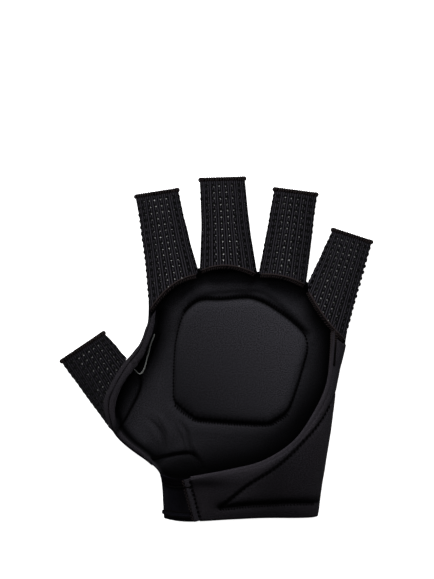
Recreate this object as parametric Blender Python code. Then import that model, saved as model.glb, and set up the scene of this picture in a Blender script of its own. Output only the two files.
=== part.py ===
"""An open-palm field hockey glove for the left hand, empty and lying on its back.

Metres. The fingers point along +Y, the palm faces +Z and the back of the hand rests on z = 0.
While it is modelled, y = 0 is the wrist hem and x = 0 the middle of the wrist. The last step moves
the whole glove so that the middle of its underside is the origin.

The cloth is made as a glove maker cuts it. One section of the hand, flat underneath with rounded
corners, gives a surface for the back and one for the palm side. Each panel is an outline drawn on
one of these surfaces, triangulated along its stitch lines and given its wall. The finger and thumb
sleeves are flattened tubes between the knuckle line and their open tips.
"""

import functools
import math

import bmesh
import bpy
from mathutils import Vector
from mathutils.geometry import delaunay_2d_cdt

# Driving sizes, in metres
BODY_LENGTH = 0.1375  # wrist hem to the fork of the index and middle fingers
HAND_WIDTH = 0.112  # across the knuckles, laid flat
GLOVE_HEIGHT = 0.021  # floor to the palm side of the cuff
SIDE_SEAM_HEIGHT = 0.009  # floor to the seam between back and palm side
CORNER_WIDTH = 0.020  # how far in from each side the section is rounded
BACK_WALL = 0.0035
BACK_EDGE_WALL = 0.0019  # the back panel thins towards its side seams
HEEL_WALL = 0.0030
GUSSET_WALL = 0.0015
STRIP_WALL = 0.0016
STRIP_REACH = 0.0040  # past the thumb's base, the strip comes down to the side seam over this length
STRIP_LIFT = 0.0009  # from the thumb's sleeve, or the side seam, to the strip's outer edge
SLEEVE_WALL = 0.0014
PAD_HEIGHT = 0.0026
PAD_EDGE_HEIGHT = 0.00065  # the pad's height at its stitching
PAD_EDGE_WIDTH = 0.0045  # how far in from its stitching the pad swells
GROOVE_DEPTH = 0.0014  # a quilting line pulls the padding in this far
GROOVE_HALF_WIDTH = 0.0028
FINGER_LENGTH = 0.0505
FINGER_WIDTH = 0.0250
TIP_HEIGHT = 0.0085  # a finger's sleeve at its open tip
BASE_HEIGHT = 0.0155  # and where it joins the hand
THUMB_LENGTH = 0.0315
THUMB_WIDTH = 0.0287
TIP_HEM_RADIUS = 0.0011
TIP_HEM_OUTSET = 0.0003  # the overlocked hem stands proud of the sleeve by this much
BASE_HEM_RADIUS = 0.0009
RIM_RADIUS = 0.0010
RIM_CLEAR = 0.0034  # the rim's binding ends this far short of the little finger's sleeve
TAPE_THICKNESS = 0.0008  # the flat seam tapes on the wrist gusset
TAPE_WIDTH = 0.0024
TAPE_HEM = 0.0026  # from the wrist hem to the lower tape
TAPE_CUTS = 8
TAG_THICKNESS = 0.0010
TAG_WIDTH = 0.0080
TAG_LIFT = 0.0008  # from the back panel to the tag's lower edge
GAP = 0.0003  # between pieces that touch

# How finely the shapes are cut
OUTLINE_STEP = 0.0045
INNER_STEP = 0.0100
PAD_STEP = 0.0130
PAD_EDGE_LINES = (0.3, 1.0)  # lines that carry the pad's swelling edge, as shares of its width
LINE_MARGIN = 0.0006  # a stitch line stops this far from the edge of its panel
PALM_CUTS = 8  # faces round a sleeve, on its palm side
BACK_CUTS = 10  # and on its back
ALONG_SLEEVE = 5
SECTION_POWER = 2.5  # 2 is an ellipse, and more is boxier
CORNER_LINES = (0.62, 0.86, 0.97)  # lines that carry the rounded corners, as shares of their width
SEAM_LIFT = 0.0012  # a sleeve's longer palm side begins this far over the side seam
SEAM_BLEND = 0.0008  # and has its full length this much higher
GRID_CLEAR = 0.55  # a panel's inner points keep this share of a step from its drawn lines
EDGE_CUTS = 16  # cuts of a sleeve's lower edge where another piece follows it

# The hand from wrist to knuckles. Along is a share of BODY_LENGTH, left and right of HAND_WIDTH,
# seam a share of SIDE_SEAM_HEIGHT at the left side, and top a share of GLOVE_HEIGHT.
BODY = (
    # along, left, right, seam, top
    (0.000, -0.383, 0.371, 1.00, 0.95),
    (0.140, -0.393, 0.392, 1.00, 1.00),
    (0.190, -0.411, 0.403, 1.00, 1.00),
    (0.240, -0.476, 0.412, 0.95, 1.00),
    (0.320, -0.602, 0.428, 0.75, 1.00),
    (0.360, -0.641, 0.436, 0.45, 0.98),
    (0.430, -0.663, 0.447, 0.05, 0.95),
    (0.500, -0.643, 0.459, 0.00, 0.91),
    (0.600, -0.590, 0.480, 0.00, 0.84),
    (0.645, -0.560, 0.494, 0.30, 0.81),
    (0.690, -0.514, 0.507, 0.80, 0.785),
    (0.735, -0.486, 0.515, 1.00, 0.77),
    (0.800, -0.463, 0.526, 1.00, 0.755),
    (0.910, -0.462, 0.556, 1.00, 0.745),
    (1.030, -0.467, 0.600, 1.00, 0.740),
)

# The knuckle line, where the back panel meets the sleeves. Across is a share of HAND_WIDTH and
# along of BODY_LENGTH, at the outer end of the index, the three forks and the outer end of the little.
KNUCKLES = (
    # across, along
    (-0.462, 0.908),
    (-0.211, 0.996),
    (0.079, 0.982),
    (0.319, 0.942),
    (0.528, 0.806),
)

# The finger sleeves. Lean turns the axis and cut the tip, in degrees to the left. Length and width
# are shares of FINGER_LENGTH and FINGER_WIDTH. The drops say how far below the knuckle line the
# palm side ends, as shares of BODY_LENGTH, and bow how far its edge curves towards the tip, as a
# share of HAND_WIDTH. Flare is the power by which a sleeve widens towards its base.
FINGERS = (
    # name, lean, cut, length, width, left_drop, right_drop, bow, flare
    ("index", 10.8, 9.2, 0.962, 0.960, 0.084, 0.018, 0.042, 1.8),
    ("middle", 3.8, 1.9, 1.000, 1.000, 0.006, 0.006, 0.038, 1.8),
    ("ring", -8.8, -7.2, 0.944, 0.964, 0.004, 0.010, 0.020, 1.4),
    ("little", -20.7, -17.8, 0.739, 0.920, 0.022, 0.092, -0.020, 1.1),
)
THUMB_LEAN = 38.3
THUMB_CUT = 34.0
THUMB_FLARE = 1.0
THUMB_BASE = (0.360, 0.645)  # where the thumb joins the hand's left side, as shares of BODY_LENGTH
THUMB_BOW = -0.018

# The rim of the palm opening, from the little finger round the heel of the hand to the gusset.
RIM = (
    # across, along
    (0.449, 0.760),
    (0.444, 0.668),
    (0.425, 0.540),
    (0.359, 0.428),
    (0.255, 0.316),
    (0.108, 0.238),
    (-0.049, 0.203),
    (-0.205, 0.179),
    (-0.272, 0.171),
)
GUSSET_TOP = (
    # across, along
    (-0.272, 0.171),
    (-0.335, 0.170),
    (-0.405, 0.184),
)
GUSSET_SEAM_SLANT = 0.054  # the gusset's seam moves this share of HAND_WIDTH towards the heel
HEM = (
    # across, along
    (-0.430, 0.008),
    (-0.300, -0.001),
    (-0.200, 0.000),
    (-0.050, 0.007),
    (0.140, 0.013),
    (0.420, 0.010),
)

# Quilting lines of the heel panel, which meet in a V near the wrist, as across and along.
HEEL_DIAGONAL = (
    (-0.105, 0.055),
    (0.025, 0.141),
    (0.174, 0.219),
    (0.309, 0.321),
    (0.400, 0.413),
    (0.470, 0.525),
)
HEEL_BASE_LINE = (
    (-0.105, 0.055),
    (0.037, 0.067),
    (0.135, 0.071),
    (0.234, 0.075),
    (0.371, 0.074),
)

# Lines that draw in the inside of the back panel: a stitch line at the wrist, the one over the pad,
# and two soft creases beside the ball of the thumb.
PAD_FOLD = (
    (-0.292, 0.787),
    (-0.243, 0.861),
    (-0.165, 0.893),
    (0.000, 0.905),
    (0.126, 0.889),
    (0.317, 0.739),
)
WRIST_LINE = (
    (-0.454, 0.237),
    (-0.346, 0.253),
    (-0.282, 0.260),
    (-0.242, 0.256),
    (-0.213, 0.232),
    (-0.194, 0.200),
)
INSIDE_LINES = (
    # depth as a share of GROOVE_DEPTH, then the line as across and along
    (1.0, WRIST_LINE),
    (1.0, PAD_FOLD),
    (0.6, ((-0.478, 0.435), (-0.439, 0.399), (-0.410, 0.355), (-0.385, 0.315), (-0.360, 0.279))),
    (0.4, ((-0.302, 0.411), (-0.292, 0.363), (-0.277, 0.319), (-0.248, 0.275))),
)

# The seam between the back panel and the thumb's back, with both ends on the hand's left side.
THUMB_SEAM_ENDS = (0.345, 0.660)
SEAM_SLIT = 0.0006  # each panel stops this far from the seam
SEAM_END = 0.0030  # the thumb's panel stops this far short of the seam's upper end
THUMB_SEAM = ((-0.609, 0.368), (-0.555, 0.432), (-0.516, 0.492), (-0.499, 0.540), (-0.511, 0.596))

# The padded island on the back, as seen from inside.
PAD_OUTLINE = (
    # across, along
    (-0.331, 0.676),
    (-0.309, 0.784),
    (-0.267, 0.840),
    (-0.203, 0.875),
    (-0.100, 0.878),
    (0.018, 0.885),
    (0.072, 0.877),
    (0.136, 0.853),
    (0.234, 0.797),
    (0.305, 0.741),
    (0.324, 0.687),
    (0.303, 0.611),
    (0.268, 0.515),
    (0.229, 0.437),
    (0.170, 0.397),
    (0.096, 0.381),
    (-0.194, 0.396),
    (-0.248, 0.412),
    (-0.302, 0.444),
    (-0.333, 0.476),
    (-0.338, 0.536),
)

# The strip round the thumb side of the opening, from the index finger past the thumb to the wrist.
# Along is where its outer edge meets the hand's left side and overlap how far it lies out over the
# thumb. The last two columns place its inner edge, and rise is how far that stands above the outer.
STRIP = (
    # along, overlap, inner_across, inner_along, rise
    (0.804, 0.000, -0.421, 0.838, 0.0050),
    (0.764, 0.000, -0.434, 0.756, 0.0050),
    (0.716, 0.000, -0.459, 0.700, 0.0050),
    (0.680, 0.000, -0.491, 0.644, 0.0050),
    (0.642, 0.000, -0.526, 0.604, 0.0050),
    (0.600, 0.012, -0.560, 0.568, 0.0022),
    (0.540, 0.020, -0.587, 0.532, 0.0012),
    (0.488, 0.026, -0.611, 0.484, 0.0008),
    (0.428, 0.010, -0.620, 0.436, 0.0012),
    (0.392, 0.000, -0.615, 0.400, 0.0022),
    (0.358, 0.000, -0.604, 0.364, 0.0030),
    (0.304, 0.000, -0.555, 0.316, 0.0030),
    (0.266, 0.000, -0.498, 0.280, 0.0026),
    (0.226, 0.000, -0.442, 0.240, 0.0022),
)
ACROSS_STRIP = 5

# The folded tag that hangs inside the thumb's web, seen on edge.
TAG_PATH = (
    (-0.434, 0.742),
    (-0.456, 0.692),
    (-0.476, 0.630),
    (-0.492, 0.592),
    (-0.508, 0.584),
    (-0.530, 0.600),
)

KNIT = ("knit", (0.018, 0.018, 0.021, 1.0), 0.75)
NEOPRENE = ("neoprene", (0.016, 0.016, 0.018, 1.0), 0.85)
LINING = ("lining", (0.019, 0.019, 0.021, 1.0), 0.90)
ELASTIC = ("elastic", (0.010, 0.010, 0.012, 1.0), 0.55)
THREAD = ("thread", (0.014, 0.012, 0.012, 1.0), 0.80)
RIBBON = ("ribbon", (0.30, 0.31, 0.31, 1.0), 0.70)


# Curves and tables
def cubic(before, start, end, after, share):
    """A point on the Catmull-Rom curve between start and end."""
    return 0.5 * (
        2 * start
        + (end - before) * share
        + (2 * before - 5 * start + 4 * end - after) * share**2
        + (3 * start - before - 3 * end + after) * share**3
    )


def point_on(points, place, closed=False):
    """The curve through the points, read at a place counted in spans from the first point."""
    count = len(points)
    spans = count if closed else count - 1
    span = min(int(place), spans - 1)

    def control(index):
        if closed:
            return points[index % count]
        if index < 0:
            return 2 * points[0] - points[1]
        if index >= count:
            return 2 * points[-1] - points[-2]
        return points[index]

    return cubic(control(span - 1), control(span), control(span + 1), control(span + 2), place - span)


def curve_through(points, step=OUTLINE_STEP, closed=False):
    """The curve through the points, cut into steps of about this length."""
    count = len(points)
    made = []
    for span in range(count if closed else count - 1):
        length = (points[(span + 1) % count] - points[span]).length
        cuts = max(1, round(length / step))
        made += [point_on(points, span + cut / cuts, closed) for cut in range(cuts)]
    return made if closed else made + [points[-1].copy()]


def body_value(column, y):
    """A column of BODY at this y, on a smooth curve through its rows."""
    along = min(max(y / BODY_LENGTH, BODY[0][0]), BODY[-1][0])
    row = next(i for i in range(1, len(BODY)) if along <= BODY[i][0])

    def slope(i):
        low, high = BODY[max(i - 1, 0)], BODY[min(i + 1, len(BODY) - 1)]
        return (high[column] - low[column]) / (high[0] - low[0])

    start, end = BODY[row - 1], BODY[row]
    width = end[0] - start[0]
    t = (along - start[0]) / width
    return (
        start[column] * (2 * t**3 - 3 * t**2 + 1)
        + slope(row - 1) * width * (t**3 - 2 * t**2 + t)
        + end[column] * (3 * t**2 - 2 * t**3)
        + slope(row) * width * (t**3 - t**2)
    )


def left_side(y):
    return body_value(1, y) * HAND_WIDTH


def right_side(y):
    return body_value(2, y) * HAND_WIDTH


def left_seam(y):
    return max(0.0, body_value(3, y)) * SIDE_SEAM_HEIGHT


def top_of(y):
    return body_value(4, y) * GLOVE_HEIGHT


def placed(shares):
    """Points given as shares of the hand's width and length."""
    return [Vector((across * HAND_WIDTH, along * BODY_LENGTH)) for across, along in shares]


def sampled(low, high, step=OUTLINE_STEP):
    count = max(1, round(abs(high - low) / step))
    return [low + (high - low) * i / count for i in range(count + 1)]


def left_edge(low, high):
    return [Vector((left_side(y), y)) for y in sampled(low, high)]


def right_edge(low, high):
    return [Vector((right_side(y), y)) for y in sampled(low, high)]


def distance_to(line, point):
    """How far a point is from a polyline, in the plane."""
    best = math.inf
    for start, end in zip(line, line[1:]):
        run = end - start
        share = min(max((point - start).dot(run) / max(run.length_squared, 1e-12), 0.0), 1.0)
        best = min(best, (point - start - run * share).length)
    return best


def moved_aside(line, distance):
    """The polyline moved to its left by a distance."""
    made = []
    for i, point in enumerate(line):
        run = line[min(i + 1, len(line) - 1)] - line[max(i - 1, 0)]
        run.normalize()
        made.append(point + Vector((-run.y, run.x)) * distance)
    return made


def inside(outline, point):
    """Whether a point lies inside an outline and clear of its edge."""
    within = False
    for start, end in zip(outline, outline[1:] + outline[:1]):
        if (start.y > point.y) != (end.y > point.y):
            crossing = start.x + (end.x - start.x) * (point.y - start.y) / (end.y - start.y)
            within ^= point.x < crossing
    return within and distance_to(outline + outline[:1], point) > LINE_MARGIN


def height_at(line, x):
    """The y of a line that runs across the hand, read at x."""
    for start, end in zip(line, line[1:]):
        if min(start.x, end.x) <= x <= max(start.x, end.x) and start.x != end.x:
            return start.y + (end.y - start.y) * (x - start.x) / (end.x - start.x)
    nearest = line[0] if abs(x - line[0].x) < abs(x - line[-1].x) else line[-1]
    return nearest.y


# The two surfaces of the hand
def corner(x, y):
    """How far a point lies into the rounded corner of its side, from 0 to 1, and that side's sign."""
    from_left, from_right = x - left_side(y), right_side(y) - x
    side = -1 if from_left < from_right else 1
    depth = min(from_left, from_right)
    return min(max(1 - depth / CORNER_WIDTH, 0.0), 1.0), side


def seam_height(y, side):
    return left_seam(y) if side < 0 else SIDE_SEAM_HEIGHT


def back_surface(x, y, inset):
    """The back of the hand, moved inwards by inset."""
    depth, side = corner(x, y)
    seam = seam_height(y, side)
    fall = 1 - math.sqrt(1 - depth**2)
    return Vector((x - side * min(inset, seam) * depth, y, inset + max(seam - inset, 0.0) * fall))


def palm_surface(x, y, inset):
    """The palm side of the hand, moved inwards by inset."""
    depth, side = corner(x, y)
    seam = seam_height(y, side) + GAP
    rise = math.sqrt(1 - depth**2)
    return Vector((x - side * inset * depth, y, seam + (top_of(y) - seam - inset) * rise))


def back_wall_at(x, y):
    depth, _ = corner(x, y)
    return BACK_WALL + (BACK_EDGE_WALL - BACK_WALL) * depth


def groove_at(line, point):
    """How deep a quilting line pulls the padding in at a point."""
    share = distance_to(line, point) / GROOVE_HALF_WIDTH
    return GROOVE_DEPTH * (1 - share) ** 2 * (1 + 2 * share) if share < 1 else 0.0


# Meshes
def material(finish):
    name, colour, roughness = finish
    made = bpy.data.materials.get(name)
    if made is None:
        made = bpy.data.materials.new(name)
        made.use_nodes = True
        shader = made.node_tree.nodes["Principled BSDF"]
        shader.inputs["Base Color"].default_value = colour
        shader.inputs["Roughness"].default_value = roughness
        shader.inputs["Metallic"].default_value = 0.0
    return made


def add_piece(name, points, faces, finish):
    """A closed solid from points and faces, facing out and shaded smooth."""
    mesh = bpy.data.meshes.new(name)
    mesh.from_pydata([tuple(point) for point in points], [], faces)
    work = bmesh.new()
    work.from_mesh(mesh)
    bmesh.ops.recalc_face_normals(work, faces=work.faces)
    if work.calc_volume(signed=True) < 0:
        bmesh.ops.reverse_faces(work, faces=work.faces)
    work.to_mesh(mesh)
    work.free()
    mesh.shade_smooth()
    mesh.set_sharp_from_angle(angle=math.radians(50))
    mesh.materials.append(material(finish))
    piece = bpy.data.objects.new(name, mesh)
    bpy.context.scene.collection.objects.link(piece)
    return piece


def strips(rows, loop_rows, loop_points):
    """Faces between rows of points. The rows, and the points of each row, may close on themselves."""
    width = len(rows[0])
    faces = []
    for row in range(len(rows) if loop_rows else len(rows) - 1):
        here, there = row * width, (row + 1) % len(rows) * width
        for point in range(width if loop_points else width - 1):
            after = (point + 1) % width
            faces.append((here + point, here + after, there + after, there + point))
    return faces


def panel(name, outline, lines, outer, inner, finish, step=INNER_STEP):
    """A piece of cloth cut to an outline and creased along lines, between an outer and an inner surface."""
    points = list(outline)
    edges = []
    for line in lines:
        kept = [i for i, point in enumerate(line) if inside(outline, point)]
        number = {i: len(points) + place for place, i in enumerate(kept)}
        points += [line[i] for i in kept]
        for i in kept:
            if i + 1 in number and inside(outline, (line[i] + line[i + 1]) / 2):
                edges.append((number[i], number[i + 1]))
    xs, ys = [p.x for p in outline], [p.y for p in outline]
    drawn = list(points)
    for row, y in enumerate(sampled(min(ys), max(ys), step)):
        for x in sampled(min(xs), max(xs), step):
            spot = Vector((x + (row % 2) * step / 2, y))
            if min((spot - p).length for p in drawn) > GRID_CLEAR * step and inside(outline, spot):
                points.append(spot)
    border = list(range(len(outline)))
    flat, _, faces, _, _, _ = delaunay_2d_cdt(points, edges, [border], 1, 1e-6)
    used = sorted({point for face in faces for point in face})
    number = {old: new for new, old in enumerate(used)}
    upper = [outer(flat[i].x, flat[i].y) for i in used]
    lower = [inner(flat[i].x, flat[i].y) for i in used]
    top = [tuple(number[i] for i in face) for face in faces]
    count = len(used)
    bottom = [tuple(i + count for i in reversed(face)) for face in top]
    shared = {}
    for face in top:
        for start, end in zip(face, face[1:] + face[:1]):
            pair = frozenset((start, end))
            shared[pair] = None if pair in shared else (start, end)
    walls = [(end, start, start + count, end + count) for start, end in filter(None, shared.values())]
    return add_piece(name, upper + lower, top + bottom + walls, finish)


def rod(name, path, radius, finish, sides=6):
    """A round cord through the points of a path, with flat ends."""
    rows = []
    for i, centre in enumerate(path):
        run = (path[min(i + 1, len(path) - 1)] - path[max(i - 1, 0)]).normalized()
        across = run.cross(Vector((0, 0, 1))).normalized()
        up = across.cross(run)
        turns = [2 * math.pi * (k + 0.5) / sides for k in range(sides)]
        rows.append([centre + (across * math.cos(a) + up * math.sin(a)) * radius for a in turns])
    faces = strips(rows, False, True)
    last = (len(rows) - 1) * sides
    faces += [tuple(range(sides)), tuple(last + k for k in reversed(range(sides)))]
    return add_piece(name, [p for row in rows for p in row], faces, finish)


# Sleeves
def signed_power(value, power):
    return math.copysign(abs(value) ** power, value)


class Sleeve:
    """A flattened tube from a straight tip to a base that ends lower on the palm side than on the back."""

    def __init__(self, name, tip, turn, width, flare, back_base, palm_base):
        self.name = name
        self.tip = tip
        self.across = Vector((math.cos(turn), math.sin(turn)))
        self.along = Vector((-math.sin(turn), math.cos(turn)))
        self.width = width
        self.flare = flare
        self.back_base = back_base
        self.palm_base = palm_base
        self.base_width = (back_base(1.0) - back_base(0.0)).length
        self.tip_floor = TIP_HEM_RADIUS + TIP_HEM_OUTSET - SLEEVE_WALL / 2
        self.low_rise = 2 * (SIDE_SEAM_HEIGHT + SEAM_LIFT) / BASE_HEIGHT - 1
        self.high_rise = self.low_rise + 2 * SEAM_BLEND / BASE_HEIGHT

    def palm_share(self, rise):
        """How much of the palm side's extra length a place has, by how high it is at the base."""
        return min(max((rise - self.low_rise) / (self.high_rise - self.low_rise), 0.0), 1.0)

    def turns(self):
        """Angles round the section, with two close together where the palm side begins."""
        low = math.asin(signed_power(self.low_rise, SECTION_POWER / 2))
        high = math.asin(signed_power(self.high_rise, SECTION_POWER / 2))
        palm = [high + (math.pi - 2 * high) * i / PALM_CUTS for i in range(PALM_CUTS + 1)]
        back = [math.pi - low + (math.pi + 2 * low) * i / BACK_CUTS for i in range(BACK_CUTS + 1)]
        return palm + back

    def point(self, angle, down, inset):
        """Angle 0 is the right side and a quarter turn the palm. Down is 0 at the tip and 1 at the base."""
        width = self.width + (self.base_width - self.width) * down
        side = signed_power(math.cos(angle), 2 / SECTION_POWER) * (1 - 2 * inset / width)
        rise = signed_power(math.sin(angle), 2 / SECTION_POWER)
        share = (1 + side) / 2
        start = self.tip + self.across * (share - 0.5) * self.width
        back, palm = self.back_base(share), self.palm_base(share)
        end = back + (palm - back) * self.palm_share(rise)
        flare = (self.base_width - self.width) * (down**self.flare - down)
        flat = start + (end - start) * down + self.across * (share - 0.5) * flare
        floor = self.tip_floor * (1 - down)
        half = (TIP_HEIGHT + (BASE_HEIGHT - TIP_HEIGHT) * down) / 2
        return Vector((flat.x, flat.y, floor + half + (half - inset) * rise))

    def ring(self, down, inset):
        return [self.point(angle, down, inset) for angle in self.turns()]

    def lower_edge(self):
        """The palm side's lower edge, seen from above."""
        return [self.palm_base(i / EDGE_CUTS).copy() for i in range(EDGE_CUTS + 1)]

    def build(self):
        downs = [i / ALONG_SLEEVE for i in range(ALONG_SLEEVE + 1)]
        rows = [self.ring(down, 0.0) for down in downs]
        rows += [self.ring(down, SLEEVE_WALL) for down in reversed(downs)]
        add_piece(f"{self.name}_sleeve", [p for row in rows for p in row], strips(rows, True, True), KNIT)

    def build_tip_hem(self, sides=6):
        """The overlocked ring round the open tip."""
        rows = []
        middle = SLEEVE_WALL / 2 - TIP_HEM_OUTSET
        centre = self.tip.to_3d() + Vector((0, 0, self.tip_floor + TIP_HEIGHT / 2))
        outward = self.along.to_3d()
        turns = [2 * math.pi * (k + 0.5) / sides for k in range(sides)]
        for spot in self.ring(0.0, middle):
            away = (spot - centre).normalized()
            seat = spot + outward * (TIP_HEM_RADIUS + GAP)
            radii = [(away * math.cos(a) + outward * math.sin(a)) * TIP_HEM_RADIUS for a in turns]
            rows.append([seat + radius for radius in radii])
        points = [p for row in rows for p in row]
        add_piece(f"{self.name}_tip_hem", points, strips(rows, True, True), THREAD)

    def build_base_hem(self, first=0.045, last=0.955, cuts=12):
        """The overlocked edge at the palm side's lower end, over these shares of its width."""
        shares = [first + (last - first) * i / cuts for i in range(cuts + 1)]
        turns = [math.pi - math.acos(1 - 2 * share) for share in shares]
        seam = [self.point(angle, 1.0, SLEEVE_WALL / 2) for angle in turns]
        flat = moved_aside([p.to_2d() for p in seam], -(BASE_HEM_RADIUS + GAP))
        path = [Vector((p.x, p.y, s.z)) for p, s in zip(flat, seam)]
        rod(f"{self.name}_base_hem", path, BASE_HEM_RADIUS, THREAD)


def knuckle_line():
    points = placed(KNUCKLES)
    points[0].x = left_side(points[0].y)
    points[-1].x = right_side(points[-1].y)
    return points


def finger(index):
    """The sleeve between two neighbouring points of the knuckle line."""
    name, lean, cut, length, width, left_drop, right_drop, bow, flare = FINGERS[index]
    knuckles = knuckle_line()
    turn = math.radians(lean)
    axis = Vector((-math.sin(turn), math.cos(turn)))
    middle = (knuckles[index] + knuckles[index + 1]) / 2
    low_left = knuckles[index] - Vector((0, left_drop * BODY_LENGTH))
    low_right = knuckles[index + 1] - Vector((0, right_drop * BODY_LENGTH))
    if index == 0:
        low_left.x = left_side(low_left.y)
    if index == len(FINGERS) - 1:
        low_right.x = right_side(low_right.y)
    aside = (knuckles[index + 1] - knuckles[index]).normalized() * GAP

    def back_base(share):
        return point_on(knuckles, index + share) + axis * GAP + aside * (1 - 2 * share)

    def palm_base(share):
        straight = low_left + (low_right - low_left) * share
        return straight + axis * 4 * bow * HAND_WIDTH * share * (1 - share) + aside * (1 - 2 * share)

    tip = middle + axis * length * FINGER_LENGTH
    return Sleeve(name, tip, math.radians(cut), width * FINGER_WIDTH, flare, back_base, palm_base)


def thumb():
    """The thumb's sleeve, which opens into the hand's left side."""
    low, high = (share * BODY_LENGTH for share in THUMB_BASE)
    turn = math.radians(THUMB_LEAN)
    axis = Vector((-math.sin(turn), math.cos(turn)))

    def back_base(share):
        y = low + (high - low) * share
        return Vector((left_side(y) - 2 * GAP, y))

    def palm_base(share):
        return back_base(share) + axis * 4 * THUMB_BOW * HAND_WIDTH * share * (1 - share)

    tip = (back_base(0.0) + back_base(1.0)) / 2 + axis * THUMB_LENGTH
    return Sleeve("thumb", tip, math.radians(THUMB_CUT), THUMB_WIDTH, THUMB_FLARE, back_base, palm_base)


# Panels of the hand
def corner_lines(low, high, sides):
    """Lines along the rounded corners, which carry their curve."""
    lines = []
    for depth in CORNER_LINES:
        inward = (1 - depth) * CORNER_WIDTH
        if "left" in sides:
            lines.append([p + Vector((inward, 0)) for p in left_edge(low, high)])
        if "right" in sides:
            lines.append([p - Vector((inward, 0)) for p in right_edge(low, high)])
    return lines


def hem_line():
    return curve_through(placed(HEM))


def hem_between(first, last):
    """The wrist hem from one x to another."""
    hem = hem_line()
    return [Vector((x, height_at(hem, x))) for x in sampled(first, last)]


def thumb_seam():
    low, high = (share * BODY_LENGTH for share in THUMB_SEAM_ENDS)
    ends = Vector((left_side(low), low)), Vector((left_side(high), high))
    return [ends[0], *placed(THUMB_SEAM), ends[1]]


def shoulders(line):
    """A quilting line with the two lines where its groove begins."""
    return [line, moved_aside(line, GROOVE_HALF_WIDTH), moved_aside(line, -GROOVE_HALF_WIDTH)]


@functools.cache
def inside_lines():
    """Each line that draws in the back panel's inside, with its depth."""
    return [(depth, curve_through(placed(line))) for depth, line in INSIDE_LINES]


def back_inner(x, y):
    """The inside of the back panel, drawn in along its stitch lines and creases."""
    spot = Vector((x, y))
    drawn = max(depth * groove_at(line, spot) for depth, line in inside_lines())
    return back_surface(x, y, back_wall_at(x, y) - drawn)


def build_back_panel():
    low, high = (share * BODY_LENGTH for share in THUMB_SEAM_ENDS)
    knuckles = knuckle_line()
    seam = [p + Vector((SEAM_SLIT, 0)) for p in curve_through(thumb_seam())[1:-1]]
    hem = hem_between(left_side(0.0), right_side(0.0))
    outline = right_edge(hem[-1].y, knuckles[-1].y)[1:-1]
    outline += reversed(curve_through(knuckles))
    outline += reversed(left_edge(high + 2 * GAP, knuckles[0].y)[:-1])
    outline += reversed(seam)
    outline += reversed(left_edge(hem[0].y, low - 2 * GAP)[1:])
    outline += hem
    lines = corner_lines(0.0, BODY_LENGTH, ("left", "right"))
    for _, line in inside_lines():
        lines += shoulders(line)
    panel("back_panel", outline, lines, back_inner, lambda x, y: back_surface(x, y, 0.0), NEOPRENE)


def build_thumb_back_panel():
    low, high = (share * BODY_LENGTH for share in THUMB_SEAM_ENDS)
    seam = [p - Vector((SEAM_SLIT, 0)) for p in curve_through(thumb_seam())[1:-1]]
    seam = [p for p in seam if p.y < high - SEAM_END]
    outline = seam + list(reversed(left_edge(low + GAP, high - SEAM_END)))
    lines = corner_lines(low, high, ("left",))
    panel("thumb_back_panel", outline, lines, back_inner, lambda x, y: back_surface(x, y, 0.0), LINING)


def build_back_pad():
    """The foam island that is stitched to the inside of the back panel."""
    outline = curve_through(placed(PAD_OUTLINE), closed=True)
    ring = outline + outline[:1]

    def seat(x, y):
        return back_surface(x, y, back_wall_at(x, y) + GAP)

    def crown(x, y):
        share = min(distance_to(ring, Vector((x, y))) / PAD_EDGE_WIDTH, 1.0)
        swell = (PAD_HEIGHT - PAD_EDGE_HEIGHT) * math.sqrt(1 - (1 - share) ** 2)
        return seat(x, y) + Vector((0, 0, PAD_EDGE_HEIGHT + swell))

    lines = [moved_aside(ring, -PAD_EDGE_WIDTH * share) for share in PAD_EDGE_LINES]
    lines = [line[:-1] + [line[0]] for line in lines]
    panel("back_pad", outline, lines, crown, seat, LINING, step=PAD_STEP)


def rim_line():
    return curve_through(placed(RIM))


def gusset_seam_at(y):
    """The x of the seam between the gusset and the heel panel."""
    top, low = placed(RIM)[-1], GUSSET_SEAM_SLANT * HAND_WIDTH
    return top.x + low * (1 - y / top.y)


def build_heel_panel():
    """The quilted panel round the heel of the hand and over the palm side of the wrist."""
    little = finger(len(FINGERS) - 1)
    rim = moved_aside(rim_line(), 2 * RIM_RADIUS + GAP)
    clear = 2 * BASE_HEM_RADIUS + 2 * GAP
    top_edge = moved_aside(little.lower_edge(), -clear)
    start = next(i for i, p in enumerate(top_edge) if p.x > rim[0].x)
    top_edge = top_edge[start:]
    top_edge[-1].x = right_side(top_edge[-1].y)
    rim = [p for p in rim if p.y < top_edge[0].y - GAP]
    seam_top = gusset_seam_at(rim[-1].y) + GAP
    rim = [p for p in rim if p.x > seam_top + GAP]
    seam = [Vector((gusset_seam_at(y) + GAP, y)) for y in sampled(rim[-1].y, 0.0)]
    hem = hem_between(seam[-1].x, right_side(0.0))
    outline = rim + seam[:-1] + hem + right_edge(hem[-1].y, top_edge[-1].y)[1:-1] + list(reversed(top_edge))
    diagonal = curve_through(placed(HEEL_DIAGONAL))
    base_line = curve_through(placed(HEEL_BASE_LINE))
    lines = corner_lines(0.0, top_edge[-1].y, ("right",)) + shoulders(diagonal) + shoulders(base_line)

    def outer(x, y):
        spot = Vector((x, y))
        drawn = max(groove_at(diagonal, spot), groove_at(base_line, spot))
        return palm_surface(x, y, drawn)

    panel("heel_panel", outline, lines, outer, lambda x, y: palm_surface(x, y, HEEL_WALL), NEOPRENE)


def build_rim_binding():
    """The bound edge of the palm opening along the heel panel."""
    little = finger(len(FINGERS) - 1)
    line = moved_aside(rim_line(), RIM_RADIUS)
    ceiling = height_at(little.lower_edge(), line[0].x) - RIM_CLEAR
    line = [p for p in line if p.y < ceiling and p.x > gusset_seam_at(p.y) + TAPE_WIDTH]
    path = [palm_surface(p.x, p.y, HEEL_WALL / 2) for p in line]
    rod("rim_binding", path, RIM_RADIUS, THREAD)


def gusset_top_line():
    return curve_through(placed(GUSSET_TOP))


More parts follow.
